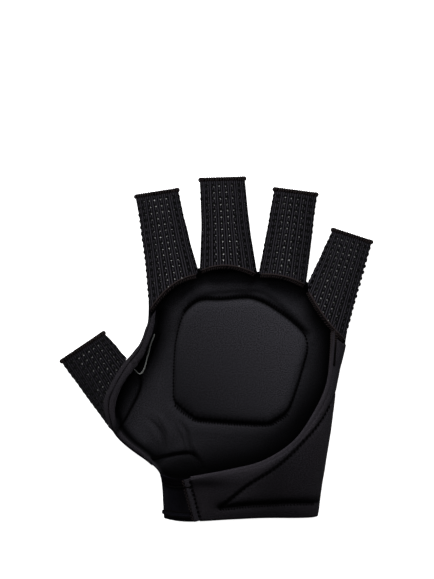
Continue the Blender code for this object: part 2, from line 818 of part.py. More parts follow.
def build_gusset():
    """The thin stretch panel at the thumb side of the wrist, with its seam tapes."""
    top = [p for p in gusset_top_line() if p.x > left_side(p.y) + GAP]
    corner_y = top[-1].y
    top[0].x = gusset_seam_at(top[0].y) - GAP
    top.append(Vector((left_side(corner_y), corner_y)))
    seam = [Vector((gusset_seam_at(y) - GAP, y)) for y in sampled(0.0, top[0].y)]
    hem = hem_between(left_side(0.0), seam[0].x)
    outline = hem[:-1] + seam[:-1] + top + list(reversed(left_edge(hem[0].y, corner_y)))[1:-1]
    lines = corner_lines(0.0, corner_y, ("left",))

    def lining(x, y):
        return palm_surface(x, y, GUSSET_WALL)

    panel("wrist_gusset", outline, lines, lambda x, y: palm_surface(x, y, 0.0), lining, ELASTIC)
    hem_top = height_at(hem, hem[-1].x) + TAPE_HEM
    build_tape("gusset_hem_upper", across_gusset(lambda x: height_at(top, x) - TAPE_WIDTH - GAP))
    build_tape("gusset_hem_lower", across_gusset(lambda x: height_at(hem, x) + TAPE_HEM))
    ys = sampled(hem_top + TAPE_WIDTH + GAP, top[0].y - TAPE_WIDTH - 2 * GAP)
    half = Vector((TAPE_WIDTH / 2, 0))
    middle = [Vector((gusset_seam_at(y), y)) for y in ys]
    build_tape("gusset_seam", [(point + half, point - half) for point in middle])


def across_gusset(low_edge):
    """Pairs of points across a tape that runs from the hand's left side to the gusset's seam."""
    pairs = []
    depths = [math.cos(math.pi / 2 * i / TAPE_CUTS) for i in range(TAPE_CUTS + 1)]
    for depth in depths:
        inward = (1 - depth) * CORNER_WIDTH
        y = low_edge(left_side(0.0) + inward)
        pairs.append(tuple(Vector((left_side(up) + inward, up)) for up in (y, y + TAPE_WIDTH)))
    return pairs


def build_tape(name, pairs):
    """A flat tape on the palm side, through pairs of points on its two edges."""
    rows = []
    for pair in pairs:
        low, high = pair
        rows.append([palm_surface(*low, -GAP - TAPE_THICKNESS), palm_surface(*high, -GAP - TAPE_THICKNESS)])
        rows[-1] += [palm_surface(*high, -GAP), palm_surface(*low, -GAP)]
    last = (len(rows) - 1) * 4
    faces = strips(rows, False, True) + [(0, 1, 2, 3), (last + 3, last + 2, last + 1, last)]
    add_piece(name, [p for row in rows for p in row], faces, THREAD)


# Strip, tag and placing
def thumb_top(y):
    """How high the thumb's sleeve stands at its base, beside this y of the hand's left side."""
    low, high = (share * BODY_LENGTH for share in THUMB_BASE)
    half = (high - low) / 2
    from_middle = abs(y - low - half)
    fade = max(0.0, 1 - max(0.0, from_middle - half) / STRIP_REACH)
    rise = (1 - min(from_middle / half, 1.0) ** SECTION_POWER) ** (1 / SECTION_POWER)
    return BASE_HEIGHT / 2 * (fade + rise)


def strip_row(along, overlap, inner_across, inner_along, rise):
    """A row of outer and inner points across the strip, from its outer to its inner edge."""
    y = along * BODY_LENGTH
    outer = Vector((left_side(y) - overlap * HAND_WIDTH + STRIP_WALL, y))
    inner = Vector((inner_across * HAND_WIDTH, inner_along * BODY_LENGTH))
    floor = max(left_seam(y), thumb_top(y)) + STRIP_LIFT
    width = (inner - outer).length
    toward = (inner - outer).normalized().to_3d()
    face, lining = [], []
    for i in range(ACROSS_STRIP + 1):
        turn = math.pi / 2 * i / ACROSS_STRIP
        height = Vector((0, 0, floor + rise * math.sin(turn)))
        spot = outer.to_3d() + toward * width * (1 - math.cos(turn)) + height
        slope = Vector((width * math.sin(turn), rise * math.cos(turn))).normalized()
        normal = Vector((0, 0, slope.x)) - toward * slope.y
        lining.append(spot)
        face.append(spot + normal * STRIP_WALL)
    return face + list(reversed(lining))


def build_web_strip():
    columns = [Vector(row[1:]) for row in STRIP]
    rows = []
    for span in range(len(STRIP) - 1):
        for half in (0.0, 0.5):
            along = STRIP[span][0] + (STRIP[span + 1][0] - STRIP[span][0]) * half
            rows.append(strip_row(along, *point_on(columns, span + half)))
    rows.append(strip_row(*STRIP[-1]))
    faces = strips(rows, False, True)
    width = len(rows[0])
    last = (len(rows) - 1) * width
    faces += [tuple(range(width)), tuple(last + i for i in reversed(range(width)))]
    add_piece("web_strip", [p for row in rows for p in row], faces, NEOPRENE)


def build_inner_tag():
    """A ribbon folded once, standing on its edge on the back panel inside the thumb's web."""
    line = curve_through(placed(TAG_PATH))
    sides = moved_aside(line, TAG_THICKNESS / 2), moved_aside(line, -TAG_THICKNESS / 2)
    rows = []
    for left, right in zip(*sides):
        foot = max(back_inner(p.x, p.y).z for p in (left, right)) + TAG_LIFT
        row = [(left, foot), (right, foot), (right, foot + TAG_WIDTH), (left, foot + TAG_WIDTH)]
        rows.append([Vector((p.x, p.y, z)) for p, z in row])
    last = (len(rows) - 1) * 4
    faces = strips(rows, False, True) + [(0, 1, 2, 3), (last + 3, last + 2, last + 1, last)]
    add_piece("inner_tag", [p for row in rows for p in row], faces, RIBBON)


def stand_on_origin():
    """Hangs every piece on one empty, placed so that the middle of the underside is the origin."""
    pieces = [piece for piece in bpy.data.objects if piece.type == "MESH"]
    points = [vertex.co for piece in pieces for vertex in piece.data.vertices]
    low = Vector(min(p[i] for p in points) for i in range(3))
    high = Vector(max(p[i] for p in points) for i in range(3))
    glove = bpy.data.objects.new("glove", None)
    bpy.context.scene.collection.objects.link(glove)
    glove.location = (-(low.x + high.x) / 2, -(low.y + high.y) / 2, -low.z)
    for piece in pieces:
        piece.parent = glove


def main():
    for old in list(bpy.data.objects):
        bpy.data.objects.remove(old)
    build_back_panel()
    build_thumb_back_panel()
    build_back_pad()
    build_heel_panel()
    build_rim_binding()
    build_gusset()
    build_web_strip()
    build_inner_tag()
    for index in range(len(FINGERS)):
        sleeve = finger(index)
        sleeve.build()
        sleeve.build_tip_hem()
        sleeve.build_base_hem()
    thumb_sleeve = thumb()
    thumb_sleeve.build()
    thumb_sleeve.build_tip_hem()
    stand_on_origin()


main()
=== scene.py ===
import bisect
import functools
import math
import random

import bmesh
import bpy
from mathutils import Matrix, Vector, kdtree, noise


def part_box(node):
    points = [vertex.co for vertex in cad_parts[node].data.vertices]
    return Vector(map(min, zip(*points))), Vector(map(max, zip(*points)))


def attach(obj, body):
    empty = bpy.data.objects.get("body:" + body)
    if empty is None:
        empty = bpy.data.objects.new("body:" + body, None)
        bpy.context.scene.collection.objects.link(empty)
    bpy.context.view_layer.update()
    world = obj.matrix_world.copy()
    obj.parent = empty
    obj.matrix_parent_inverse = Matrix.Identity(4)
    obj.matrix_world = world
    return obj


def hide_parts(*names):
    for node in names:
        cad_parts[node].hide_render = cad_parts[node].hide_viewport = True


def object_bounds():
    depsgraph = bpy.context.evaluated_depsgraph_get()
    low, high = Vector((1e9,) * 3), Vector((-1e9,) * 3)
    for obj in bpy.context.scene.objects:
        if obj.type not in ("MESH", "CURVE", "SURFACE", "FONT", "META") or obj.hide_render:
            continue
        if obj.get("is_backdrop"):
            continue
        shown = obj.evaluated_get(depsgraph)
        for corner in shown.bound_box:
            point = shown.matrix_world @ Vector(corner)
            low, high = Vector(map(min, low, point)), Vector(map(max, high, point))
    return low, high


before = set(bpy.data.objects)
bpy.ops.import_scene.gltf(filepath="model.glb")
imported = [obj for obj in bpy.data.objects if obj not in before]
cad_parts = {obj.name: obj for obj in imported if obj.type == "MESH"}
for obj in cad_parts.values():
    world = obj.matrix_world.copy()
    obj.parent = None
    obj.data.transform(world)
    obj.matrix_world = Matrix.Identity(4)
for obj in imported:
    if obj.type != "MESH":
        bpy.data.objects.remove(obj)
CAD_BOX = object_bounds()

bl_info = {
    "name": "Open-palm hockey glove",
    "version": (1, 0, 0),
    "blender": (4, 5, 0),
    "location": "3D View > Sidebar > Glove",
    "description": "Dresses a left-hand open-palm hockey glove that lies on its back",
    "category": "Object",
}

# The hand that the glove is cut for, in metres, as in the frame
BODY_LENGTH = 0.1375
HAND_WIDTH = 0.112
GLOVE_HEIGHT = 0.021
SIDE_SEAM_HEIGHT = 0.009
CORNER_WIDTH = 0.020
CORNER_ROLL = 0.016  # cloth that each radian of a rounded corner takes
BACK_WALL = 0.0035
BACK_EDGE_WALL = 0.0019
HEEL_WALL = 0.0030
GUSSET_WALL = 0.0015
STRIP_WALL = 0.0016
SLEEVE_WALL = 0.0014
GAP = 0.0003
SEAM_LAP = 0.0005  # the two panels overlap by this at the thumb's seam
PAD_HEIGHT = 0.0026
PAD_EDGE_WIDTH = 0.0050
FINGER_LENGTH = 0.0505
FINGER_WIDTH = 0.0250
THUMB_LENGTH = 0.0315
THUMB_WIDTH = 0.0287
TIP_HEIGHT = 0.0085
BASE_HEIGHT = 0.0155
TIP_HEM_RADIUS = 0.0011
TIP_HEM_OUTSET = 0.0003
BASE_HEM_RADIUS = 0.0011
RIM_RADIUS = 0.0010
RIM_CLEAR = 0.0034
TAPE_THICKNESS = 0.0008
TAPE_WIDTH = 0.0024
TAPE_HEM = 0.0026
FOLD_WIDTH = 0.0042  # the gusset's upper fold
RIDGE_RADIUS = 0.0017  # the rounded seam between gusset and heel
LADDER_OFFSET = 0.0019  # its two rows of yarn run this far right and left of it
ZIGZAG_OFFSET = 0.0021
DOT_START = 0.0026  # from a sleeve's tip to its first grip dots
PAD_SEAT = 0.0022  # how deep in the back the pad is seated
TAG_THICKNESS = 0.0004
TAG_WIDTH = 0.0080
TAG_LIFT = 0.0008
KNUCKLE_LAP = 0.0014  # the back reaches this far under the sleeves' seam
GUSSET_LAP = 0.0012  # and the gusset this far under the heel
SECTION_POWER = 2.5  # a sleeve's cross section, from 2 for an ellipse towards a box
SEAM_LIFT = 0.0012
SEAM_BLEND = 0.0008
STRIP_REACH = 0.0040
STRIP_LIFT = 0.0009

# How finely the cloth is cut
CLOTH_STEP = 0.00075
FINE_STEP = 0.0006
RIB_CUTS = 6
SLEEVE_ROWS = 84
LINING_ROWS = 12
WRAP_POINTS = 9  # in each loop of an overlocked edge
HEM_RING_POINTS = 120
STRIP_CUTS = (150, 18)  # along the strip and across it
TAG_ROWS = 10
PLAIN_PAINTED_SHADE = 0.6  # the painted-shade attribute of a piece that has one even level
OUTLINE_STEP = 0.0004
EDGE_RING = 0.0004  # a ring of faces this far inside a panel's edge rounds it over

RIGHT_ANGLE = math.pi / 2
UP = Vector((0, 0, 1))

# The hand from wrist to knuckles, as shares of BODY_LENGTH, HAND_WIDTH and the two heights
BODY = (
    # along, left, right, seam, top
    (0.000, -0.383, 0.371, 1.00, 0.95),
    (0.140, -0.393, 0.392, 1.00, 1.00),
    (0.190, -0.411, 0.403, 1.00, 1.00),
    (0.240, -0.476, 0.412, 0.95, 1.00),
    (0.320, -0.602, 0.428, 0.75, 1.00),
    (0.360, -0.641, 0.436, 0.45, 0.98),
    (0.430, -0.663, 0.447, 0.05, 0.95),
    (0.500, -0.643, 0.459, 0.00, 0.91),
    (0.600, -0.590, 0.480, 0.00, 0.84),
    (0.645, -0.560, 0.494, 0.30, 0.81),
    (0.690, -0.514, 0.507, 0.80, 0.785),
    (0.735, -0.486, 0.515, 1.00, 0.77),
    (0.800, -0.463, 0.526, 1.00, 0.755),
    (0.910, -0.462, 0.556, 1.00, 0.745),
    (1.030, -0.467, 0.600, 1.00, 0.740),
)
KNUCKLES = ((-0.462, 0.908), (-0.211, 0.996), (0.079, 0.982), (0.319, 0.942), (0.528, 0.806))
FINGERS = (
    # name, lean, cut, length, width, left_drop, right_drop, bow, flare
    ("index", 10.8, 9.2, 0.962, 0.960, 0.084, 0.018, 0.042, 1.8),
    ("middle", 3.8, 1.9, 1.000, 1.000, 0.006, 0.006, 0.038, 1.8),
    ("ring", -8.8, -7.2, 0.944, 0.964, 0.004, 0.010, 0.020, 1.4),
    ("little", -20.7, -17.8, 0.739, 0.920, 0.022, 0.092, -0.020, 1.1),
)
THUMB_LEAN = 38.3
THUMB_CUT = 34.0
THUMB_FLARE = 1.0
THUMB_BASE = (0.360, 0.645)
THUMB_BOW = -0.018

# Edges and stitch lines, as shares of HAND_WIDTH across and BODY_LENGTH along
RIM = (
    (0.449, 0.760), (0.444, 0.668), (0.425, 0.540), (0.359, 0.428), (0.255, 0.316), (0.108, 0.238),
    (-0.049, 0.203), (-0.205, 0.179), (-0.272, 0.171),
)
GUSSET_TOP = ((-0.272, 0.171), (-0.335, 0.170), (-0.405, 0.184))
GUSSET_SEAM_SLANT = 0.054
HEM = (
    (-0.430, 0.008), (-0.300, -0.001), (-0.200, 0.000), (-0.050, 0.007), (0.140, 0.013), (0.420, 0.010),
)
HEEL_DIAGONAL = (
    (-0.105, 0.055), (0.025, 0.141), (0.174, 0.219), (0.309, 0.321), (0.400, 0.413), (0.470, 0.525),
)
HEEL_BASE_LINE = ((-0.105, 0.055), (0.037, 0.067), (0.135, 0.071), (0.234, 0.075), (0.371, 0.074))
WRIST_LINE = (
    (-0.454, 0.237), (-0.346, 0.253), (-0.282, 0.260), (-0.242, 0.256), (-0.213, 0.232), (-0.194, 0.200),
)
PAD_FOLD = (
    (-0.292, 0.787), (-0.243, 0.861), (-0.165, 0.893), (0.000, 0.905), (0.126, 0.889), (0.317, 0.739),
)
# Where the painted shadow of the middle finger's opening lies on the back's lining
MIDDLE_OPENING = ((-0.168, 1.000), (-0.100, 0.990), (-0.020, 1.000))
CROSSING = 0.62  # a stitch line runs across where its direction has more than this of x
SEAM_LOW = 0.345 * BODY_LENGTH  # where the thumb's seam meets the hand's left side
SEAM_HIGH = 0.660 * BODY_LENGTH
THUMB_SEAM = ((-0.609, 0.368), (-0.555, 0.432), (-0.516, 0.492), (-0.499, 0.540), (-0.511, 0.596))
SEAM_END = 0.0030
CREASES = (
    # depth and width in metres, then the line
    (0.0012, 0.0010, ((-0.449, 0.740), (-0.461, 0.672), (-0.480, 0.606), (-0.500, 0.582))),
    (0.0015, 0.0015, ((-0.456, 0.400), (-0.416, 0.370), (-0.385, 0.330), (-0.370, 0.275))),
    (0.0007, 0.0008, ((-0.435, 0.412), (-0.405, 0.388), (-0.372, 0.340))),
    (0.0012, 0.0011, ((-0.300, 0.385), (-0.272, 0.350), (-0.252, 0.290), (-0.215, 0.225))),
    (0.0009, 0.0008, ((-0.322, 0.365), (-0.290, 0.312), (-0.270, 0.262))),
    (0.0005, 0.0016, ((-0.296, 0.960), (-0.308, 0.905), (-0.312, 0.830))),
    (0.0005, 0.0009, ((0.085, 0.955), (0.130, 0.950))),
)
PAD_OUTLINE = (
    (-0.331, 0.676), (-0.309, 0.784), (-0.267, 0.840), (-0.203, 0.875), (-0.100, 0.878), (0.018, 0.885),
    (0.072, 0.877), (0.136, 0.853), (0.234, 0.797), (0.305, 0.741), (0.324, 0.687), (0.303, 0.611),
    (0.268, 0.515), (0.229, 0.437), (0.170, 0.397), (0.096, 0.381), (-0.194, 0.396), (-0.248, 0.412),
    (-0.302, 0.444), (-0.333, 0.476), (-0.338, 0.536),
)
STRIP = (
    # along, overlap, inner_across, inner_along, rise
    (0.804, 0.000, -0.421, 0.838, 0.0050),
    (0.764, 0.000, -0.434, 0.756, 0.0050),
    (0.716, 0.000, -0.459, 0.700, 0.0050),
    (0.680, 0.000, -0.491, 0.644, 0.0050),
    (0.642, 0.000, -0.526, 0.604, 0.0050),
    (0.600, 0.012, -0.560, 0.568, 0.0022),
    (0.540, 0.020, -0.587, 0.532, 0.0012),
    (0.488, 0.026, -0.611, 0.484, 0.0008),
    (0.428, 0.010, -0.620, 0.436, 0.0012),
    (0.392, 0.000, -0.615, 0.400, 0.0022),
    (0.358, 0.000, -0.604, 0.364, 0.0030),
    (0.304, 0.000, -0.555, 0.316, 0.0030),
    (0.266, 0.000, -0.498, 0.280, 0.0026),
    (0.226, 0.000, -0.442, 0.240, 0.0022),
)
TAG_PATH = (
    (-0.434, 0.742), (-0.456, 0.692), (-0.476, 0.630), (-0.492, 0.592), (-0.508, 0.584), (-0.530, 0.600),
)

# Where the middle of the wrist hem lies in the frame, from the back panel's low hem and right side
PANEL_LOW, PANEL_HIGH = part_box("back_panel")
LOW_HEM = min(along for _, along in HEM)
WRIST = Vector((PANEL_HIGH.x - KNUCKLES[-1][0] * HAND_WIDTH, PANEL_LOW.y - LOW_HEM * BODY_LENGTH, 0))


# Sizes and colours that a user would change
def length_prop(name, description, default):
    return bpy.props.FloatProperty(name=name, description=description, default=default, unit="LENGTH")


def colour_prop(name, description, *default):
    kind = {"subtype": "COLOR", "size": 3}
    return bpy.props.FloatVectorProperty(name=name, description=description, default=default, **kind)


class GloveSizes(bpy.types.PropertyGroup):
    rib_pitch: length_prop("Rib pitch", "Width of one rib of the knit", 0.00130)
    rib_height: length_prop("Rib height", "How far a rib stands out", 0.00042)
    dot_pitch_across: length_prop("Dots across", "Distance between columns of grip dots", 0.0038)
    dot_pitch_along: length_prop("Dots along", "Distance between grip dots of a column", 0.00345)
    dot_radius: length_prop("Dot radius", "Radius of a grip dot", 0.00112)
    overlock_pitch: length_prop("Overlock pitch", "Distance between loops of a hem", 0.00128)
    stitch_pitch: length_prop("Stitch pitch", "Distance between stitches of a quilting line", 0.00125)
    puff: length_prop("Puff", "How far padding swells between stitch lines", 0.0016)


class GloveColours(bpy.types.PropertyGroup):
    cloth: colour_prop("Cloth", "Outer cloth of the padded panels", 0.0150, 0.0145, 0.0172)
    lining: colour_prop("Lining", "Inside of the back and its pad", 0.0158, 0.0158, 0.0182)
    knit: colour_prop("Knit", "Ribbed sleeves", 0.0118, 0.0114, 0.0133)
    grip: colour_prop("Grip", "Clear grip dots over the knit", 0.0012, 0.0012, 0.0014)
    elastic: colour_prop("Elastic", "Wrist gusset", 0.0026, 0.0025, 0.0034)
    thread: colour_prop("Thread", "Overlock yarn", 0.0180, 0.0142, 0.0144)
    stitch: colour_prop("Stitch", "Quilting thread", 0.0016, 0.0014, 0.0015)
    ribbon: colour_prop("Ribbon", "Inner tag", 0.10, 0.105, 0.10)
    floor: colour_prop("Floor", "Plain pale floor", 0.90, 0.90, 0.90)


def sizes():
    return bpy.context.scene.glove_sizes


# Shader maths
def math_node(operation, reflected=False):
    """A method of Link that adds the Math node of an operator."""

    def method(self, other=0.0):
        first, second = (other, self) if reflected else (self, other)
        return self.finish.node("ShaderNodeMath", {"operation": operation}, {0: first, 1: second})

    return method


class Link:
    """A shader socket, which sums and products turn into Math nodes."""

    def __init__(self, finish, socket):
        self.finish = finish
        self.socket = socket

    __add__, __radd__ = math_node("ADD"), math_node("ADD", True)
    __sub__, __rsub__ = math_node("SUBTRACT"), math_node("SUBTRACT", True)
    __mul__, __rmul__ = math_node("MULTIPLY"), math_node("MULTIPLY", True)
    __abs__ = math_node("ABSOLUTE")
    sine = math_node("SINE")


class Finish:
    """A material with one Principled shader."""

    def __init__(self, name, roughness=0.8, sheen=0.0, sheen_roughness=0.4, coat=0.0, specular=0.35):
        self.material = bpy.data.materials.new(name)
        self.material.use_nodes = True
        self.tree = self.material.node_tree
        self.shader = self.tree.nodes["Principled BSDF"]
        self.set("Roughness", roughness)
        self.set("Sheen Weight", sheen)
        self.set("Sheen Roughness", sheen_roughness)
        self.set("Coat Weight", coat)
        self.set("Specular IOR Level", specular)

    def set(self, socket, value):
        """Gives a socket of the shader a constant or a link."""
        if isinstance(value, Link):
            self.tree.links.new(value.socket, self.shader.inputs[socket])
        else:
            self.shader.inputs[socket].default_value = value

    def node(self, kind, settings=None, sockets=None, output=0):
        """A node of any kind, with its settings first and then its sockets."""
        made = self.tree.nodes.new(kind)
        for name, value in (settings or {}).items():
            setattr(made, name, value)
        for name, value in (sockets or {}).items():
            if isinstance(value, Link):
                self.tree.links.new(value.socket, made.inputs[name])
            else:
                made.inputs[name].default_value = value
        return Link(self, made.outputs[output])

    def cloth_place(self):
        """The piece's own UV map in millimetres of cloth, and its two parts."""
        uv = self.node("ShaderNodeUVMap", {"uv_map": "cloth"})
        scaled = self.node("ShaderNodeVectorMath", {"operation": "SCALE"}, {0: uv, "Scale": 1000.0})
        split = self.node("ShaderNodeSeparateXYZ", None, {0: scaled})
        return scaled, split, Link(self, split.socket.node.outputs[1])

    def noise(self, vector, scale, detail=2.0, roughness=0.5):
        sockets = {"Vector": vector, "Scale": scale, "Detail": detail, "Roughness": roughness}
        return self.node("ShaderNodeTexNoise", None, sockets)

    def between(self, factor, first, second):
        """A colour between two, by a factor."""
        return self.node("ShaderNodeMix", {"data_type": "RGBA"}, {0: factor, 6: first, 7: second}, output=2)

    def ramp(self, factor, low, high):
        """A factor stretched so that low becomes 0 and high becomes 1."""
        return self.node("ShaderNodeMapRange", None, {"Value": factor, "From Min": low, "From Max": high})

    def bump(self, height, distance, strength=1.0, before=None):
        sockets = {"Height": height, "Distance": distance, "Strength": strength}
        if before is not None:
            sockets["Normal"] = before
        return self.node("ShaderNodeBump", None, sockets)

    def with_painted_shade(self, dark, tone):
        """A tone that sinks to a dark one where the piece's painted-shade attribute is low: painted shade."""
        worn = self.node("ShaderNodeAttribute", {"attribute_name": "worn"}, output=2)
        return self.between(worn, dark, tone)

    def done(self, tone, roughness, normal):
        """The finished material."""
        self.set("Base Color", tone)
        self.set("Roughness", roughness)
        self.set("Normal", normal)
        return self.material


def shade(colour, by, tint=(1.0, 1.0, 1.0)):
    """A colour made lighter or darker, with a tint."""
    return tuple(c * by * t for c, t in zip(colour, tint)) + (1.0,)


def jersey(name, colour, warm, stitch=0.42, speckle=1.3):
    """Brushed warp-knit jersey: fine stitches, a faint two-tone fleck and lint."""
    finish = Finish(name, roughness=0.90, sheen=0.004, sheen_roughness=0.5, specular=0.015)
    place, u, v = finish.cloth_place()
    columns = abs((u * (math.pi / stitch)).sine())
    rows = abs((v * (math.pi / stitch) + (u * (math.pi / stitch)).sine() * 0.9).sine())
    weave = columns * rows
    fleck = finish.ramp(finish.noise(place, 1.9, 2.0, 0.7), 0.36, 0.66)
    patch = finish.ramp(finish.noise(place, 0.045, 2.0), 0.3, 0.7)
    dark = shade(colour, 1.0 - speckle * 0.55)
    light = shade(colour, 1.0 + speckle, (1.03, 0.99, 1.02))
    tone = finish.between(fleck, dark, light)
    tone = finish.between(patch * 0.22, tone, shade(colour, 1.25, warm))
    # Painted shade from the piece's attribute darkens the tone.
    tone = finish.with_painted_shade(shade(colour, 0.03), tone)
    soft = finish.bump(finish.noise(place, 0.35, 3.0), 0.00012, 0.5)
    return finish.done(tone, 0.80 + fleck * 0.12, finish.bump(weave + fleck * 0.6, 0.00009, 0.7, soft))


def rib_knit(name, colour):
    """Rib knit: V stitches in rows up each rib, with a slight gloss and painted shade in its furrows."""
    finish = Finish(name, roughness=0.75, sheen=0.004, sheen_roughness=0.4, specular=0.03)
    place, u, v = finish.cloth_place()
    crest = abs((u * (math.pi / (sizes().rib_pitch * 1000)) + RIGHT_ANGLE).sine())
    stitches = abs((v * (math.pi / 0.62) + crest * 1.2).sine())
    fleck = finish.ramp(finish.noise(place, 1.6, 3.0, 0.7), 0.32, 0.70)
    tone = finish.between(fleck, shade(colour, 1.15), shade(colour, 2.70, (1.02, 0.98, 1.04)))
    # Painted shade between the stitches, deeper in the furrows between the ribs, then the piece's own painted
    # shade.
    tone = finish.between(finish.ramp(stitches, 0.0, 0.5), shade(colour, 0.70), tone)
    tone = finish.between(finish.ramp(crest, 0.42, 0.95), shade(colour, 0.03), tone)
    tone = finish.with_painted_shade(shade(colour, 0.0), tone)
    return finish.done(tone, 0.62 + fleck * 0.16, finish.bump(stitches + fleck * 0.5, 0.00011, 0.8))


def clear_grip(name, colour):
    """Glossy clear rubber over black knit, with small ripples and a few dull smears."""
    finish = Finish(name, roughness=0.14, coat=0.3, specular=0.5)
    place = finish.node("ShaderNodeTexCoord", output=3)
    smear = finish.ramp(finish.noise(place, 900.0, 2.0), 0.45, 0.75)
    tone = finish.between(smear, shade(colour, 0.5), shade(colour, 1.2))
    ripples = finish.bump(finish.noise(place, 1400.0, 1.0), 0.00005, 0.25)
    return finish.done(tone, 0.14 + smear * 0.22, ripples)


def stretch_cloth(name, colour):
    """Smooth stretch cloth with fine cross ribs and a silky sheen."""
    finish = Finish(name, roughness=0.55, sheen=0.002, sheen_roughness=0.3, specular=0.02)
    place, u, v = finish.cloth_place()
    ribs = abs((v * (math.pi / 0.55)).sine())
    fleck = finish.ramp(finish.noise(place, 1.3, 2.0), 0.35, 0.7)
    # Paler patches of wear, at random.
    worn = finish.ramp(finish.noise(place, 0.12, 2.0), 0.4, 0.7)
    tone = finish.between(fleck, shade(colour, 0.75), shade(colour, 1.5, (0.98, 0.96, 1.10)))
    tone = finish.between(worn * 0.35, tone, shade(colour, 1.7))
    # The piece's painted light and shade, sinking to a dark reddish brown where it is low.
    tone = finish.with_painted_shade(shade(colour, 0.1, (1.5, 0.9, 0.9)), tone)
    return finish.done(tone, 0.48 + fleck * 0.14, finish.bump(ribs + fleck * 0.4, 0.00007, 0.6))


def yarn(name, colour, twist=0.5):
    """Spun yarn: twisted plies, with lighter, scuffed fibres here and there."""
    finish = Finish(name, roughness=0.75, sheen=0.004, sheen_roughness=0.4, specular=0.03)
    place, u, v = finish.cloth_place()
    plies = abs((u * (math.pi / twist) + v * (math.pi / twist)).sine())
    fibre = finish.ramp(finish.noise(place, 2.4, 3.0, 0.7), 0.35, 0.7)
    # Painted shade in the grooves between the plies.
    tone = finish.between(plies, shade(colour, 0.05), shade(colour, 1.15))
    tone = finish.between(fibre * 0.4, tone, shade(colour, 1.9, (1.06, 0.97, 0.98)))
    return finish.done(tone, 0.64 + fibre * 0.18, finish.bump(plies + fibre * 0.4, 0.00012, 0.8))


def woven_ribbon(name, colour):
    """Plain woven satin ribbon, a little grubby in patches."""
    finish = Finish(name, roughness=0.55, sheen=0.1, specular=0.4)
    place, u, v = finish.cloth_place()
    weave = abs((u * (math.pi / 0.3)).sine()) * abs((v * (math.pi / 0.3)).sine())
    grime = finish.ramp(finish.noise(place, 0.5, 3.0), 0.35, 0.7)
    tone = finish.between(grime, shade(colour, 0.6), shade(colour, 1.05))
    return finish.done(tone, 0.5 + grime * 0.2, finish.bump(weave, 0.00005, 0.6))


def floor_paint(name, colour):
    """Plain pale board with a barely uneven surface."""
    finish = Finish(name, roughness=0.9, specular=0.1)
    place = finish.node("ShaderNodeTexCoord", output=3)
    cloud = finish.ramp(finish.noise(place, 6.0, 2.0), 0.3, 0.7)
    finish.set("Base Color", finish.between(cloud, shade(colour, 0.99), shade(colour, 1.0)))
    finish.set("Emission Color", shade(colour, 1.0))
    finish.set("Emission Strength", 1.0)
    finish.set("Roughness", 0.88 + cloud * 0.04)
    return finish.material


@functools.cache
def finish_named(name):
    """Each material, made once."""
    made = {
        "cloth": lambda dye: jersey("glove_cloth", dye.cloth, (1.35, 1.0, 0.95)),
        "lining": lambda dye: jersey("glove_lining", dye.lining, (0.96, 0.98, 1.06), 0.5, 1.25),
        "knit": lambda dye: rib_knit("glove_rib_knit", dye.knit),
        "grip": lambda dye: clear_grip("glove_grip_dots", dye.grip),
        "elastic": lambda dye: stretch_cloth("glove_stretch_cloth", dye.elastic),
        "yarn": lambda dye: yarn("glove_overlock_yarn", dye.thread),
        "stitch": lambda dye: yarn("glove_stitch_thread", dye.stitch, twist=0.25),
        "ribbon": lambda dye: woven_ribbon("glove_ribbon", dye.ribbon),
        "floor": lambda dye: floor_paint("pale_floor", dye.floor),
    }
    return made[name](bpy.context.scene.glove_colours)


# Curves and tables
def cubic(before, start, end, after, share):
    """A point on the Catmull-Rom curve between start and end."""
    return 0.5 * (
        2 * start
        + (end - before) * share
        + (2 * before - 5 * start + 4 * end - after) * share**2
        + (3 * start - before - 3 * end + after) * share**3
    )


def point_on(points, place, closed=False):
    """The curve through the points, read at a place counted in spans from the first point."""
    count = len(points)
    span = min(int(place), (count if closed else count - 1) - 1)

    def control(index):
        if closed:
            return points[index % count]
        if index < 0:
            return 2 * points[0] - points[1]
        if index >= count:
            return 2 * points[-1] - points[-2]
        return points[index]

    return cubic(control(span - 1), control(span), control(span + 1), control(span + 2), place - span)


def curve_through(points, step=OUTLINE_STEP, closed=False):
    """The curve through the points, cut into steps of about this length."""
    count = len(points)
    made = []
    for span in range(count if closed else count - 1):
        cuts = max(1, round((points[(span + 1) % count] - points[span]).length / step))
        made += [point_on(points, span + cut / cuts, closed) for cut in range(cuts)]
    return made if closed else made + [points[-1].copy()]


def running_lengths(points):
    """How far along the polyline each of its points lies."""
    lengths = [0.0]
    for start, end in zip(points, points[1:]):
        lengths.append(lengths[-1] + (end - start).length)
    return lengths


def evenly(points, pitch):
    """The polyline read at even distances, about this pitch apart."""
    lengths = running_lengths(points)
    count = max(1, round(lengths[-1] / pitch))
    made, place = [], 0
    for i in range(count + 1):
        goal = lengths[-1] * i / count
        while place < len(points) - 2 and lengths[place + 1] < goal:
            place += 1
        span = lengths[place + 1] - lengths[place]
        share = (goal - lengths[place]) / span if span else 0.0
        made.append(points[place].lerp(points[place + 1], min(share, 1.0)))
    return made


def body_value(column, y):
    """A column of BODY at this y, on a smooth curve through its rows."""
    along = clamp(y / BODY_LENGTH, BODY[0][0], BODY[-1][0])
    row = next(i for i in range(1, len(BODY)) if along <= BODY[i][0])

    def slope(i):
        low, high = BODY[max(i - 1, 0)], BODY[min(i + 1, len(BODY) - 1)]
        return (high[column] - low[column]) / (high[0] - low[0])

    start, end = BODY[row - 1], BODY[row]
    width = end[0] - start[0]
    t = (along - start[0]) / width
    return (
        start[column] * (2 * t**3 - 3 * t**2 + 1)
        + slope(row - 1) * width * (t**3 - 2 * t**2 + t)
        + end[column] * (3 * t**2 - 2 * t**3)
        + slope(row) * width * (t**3 - t**2)
    )


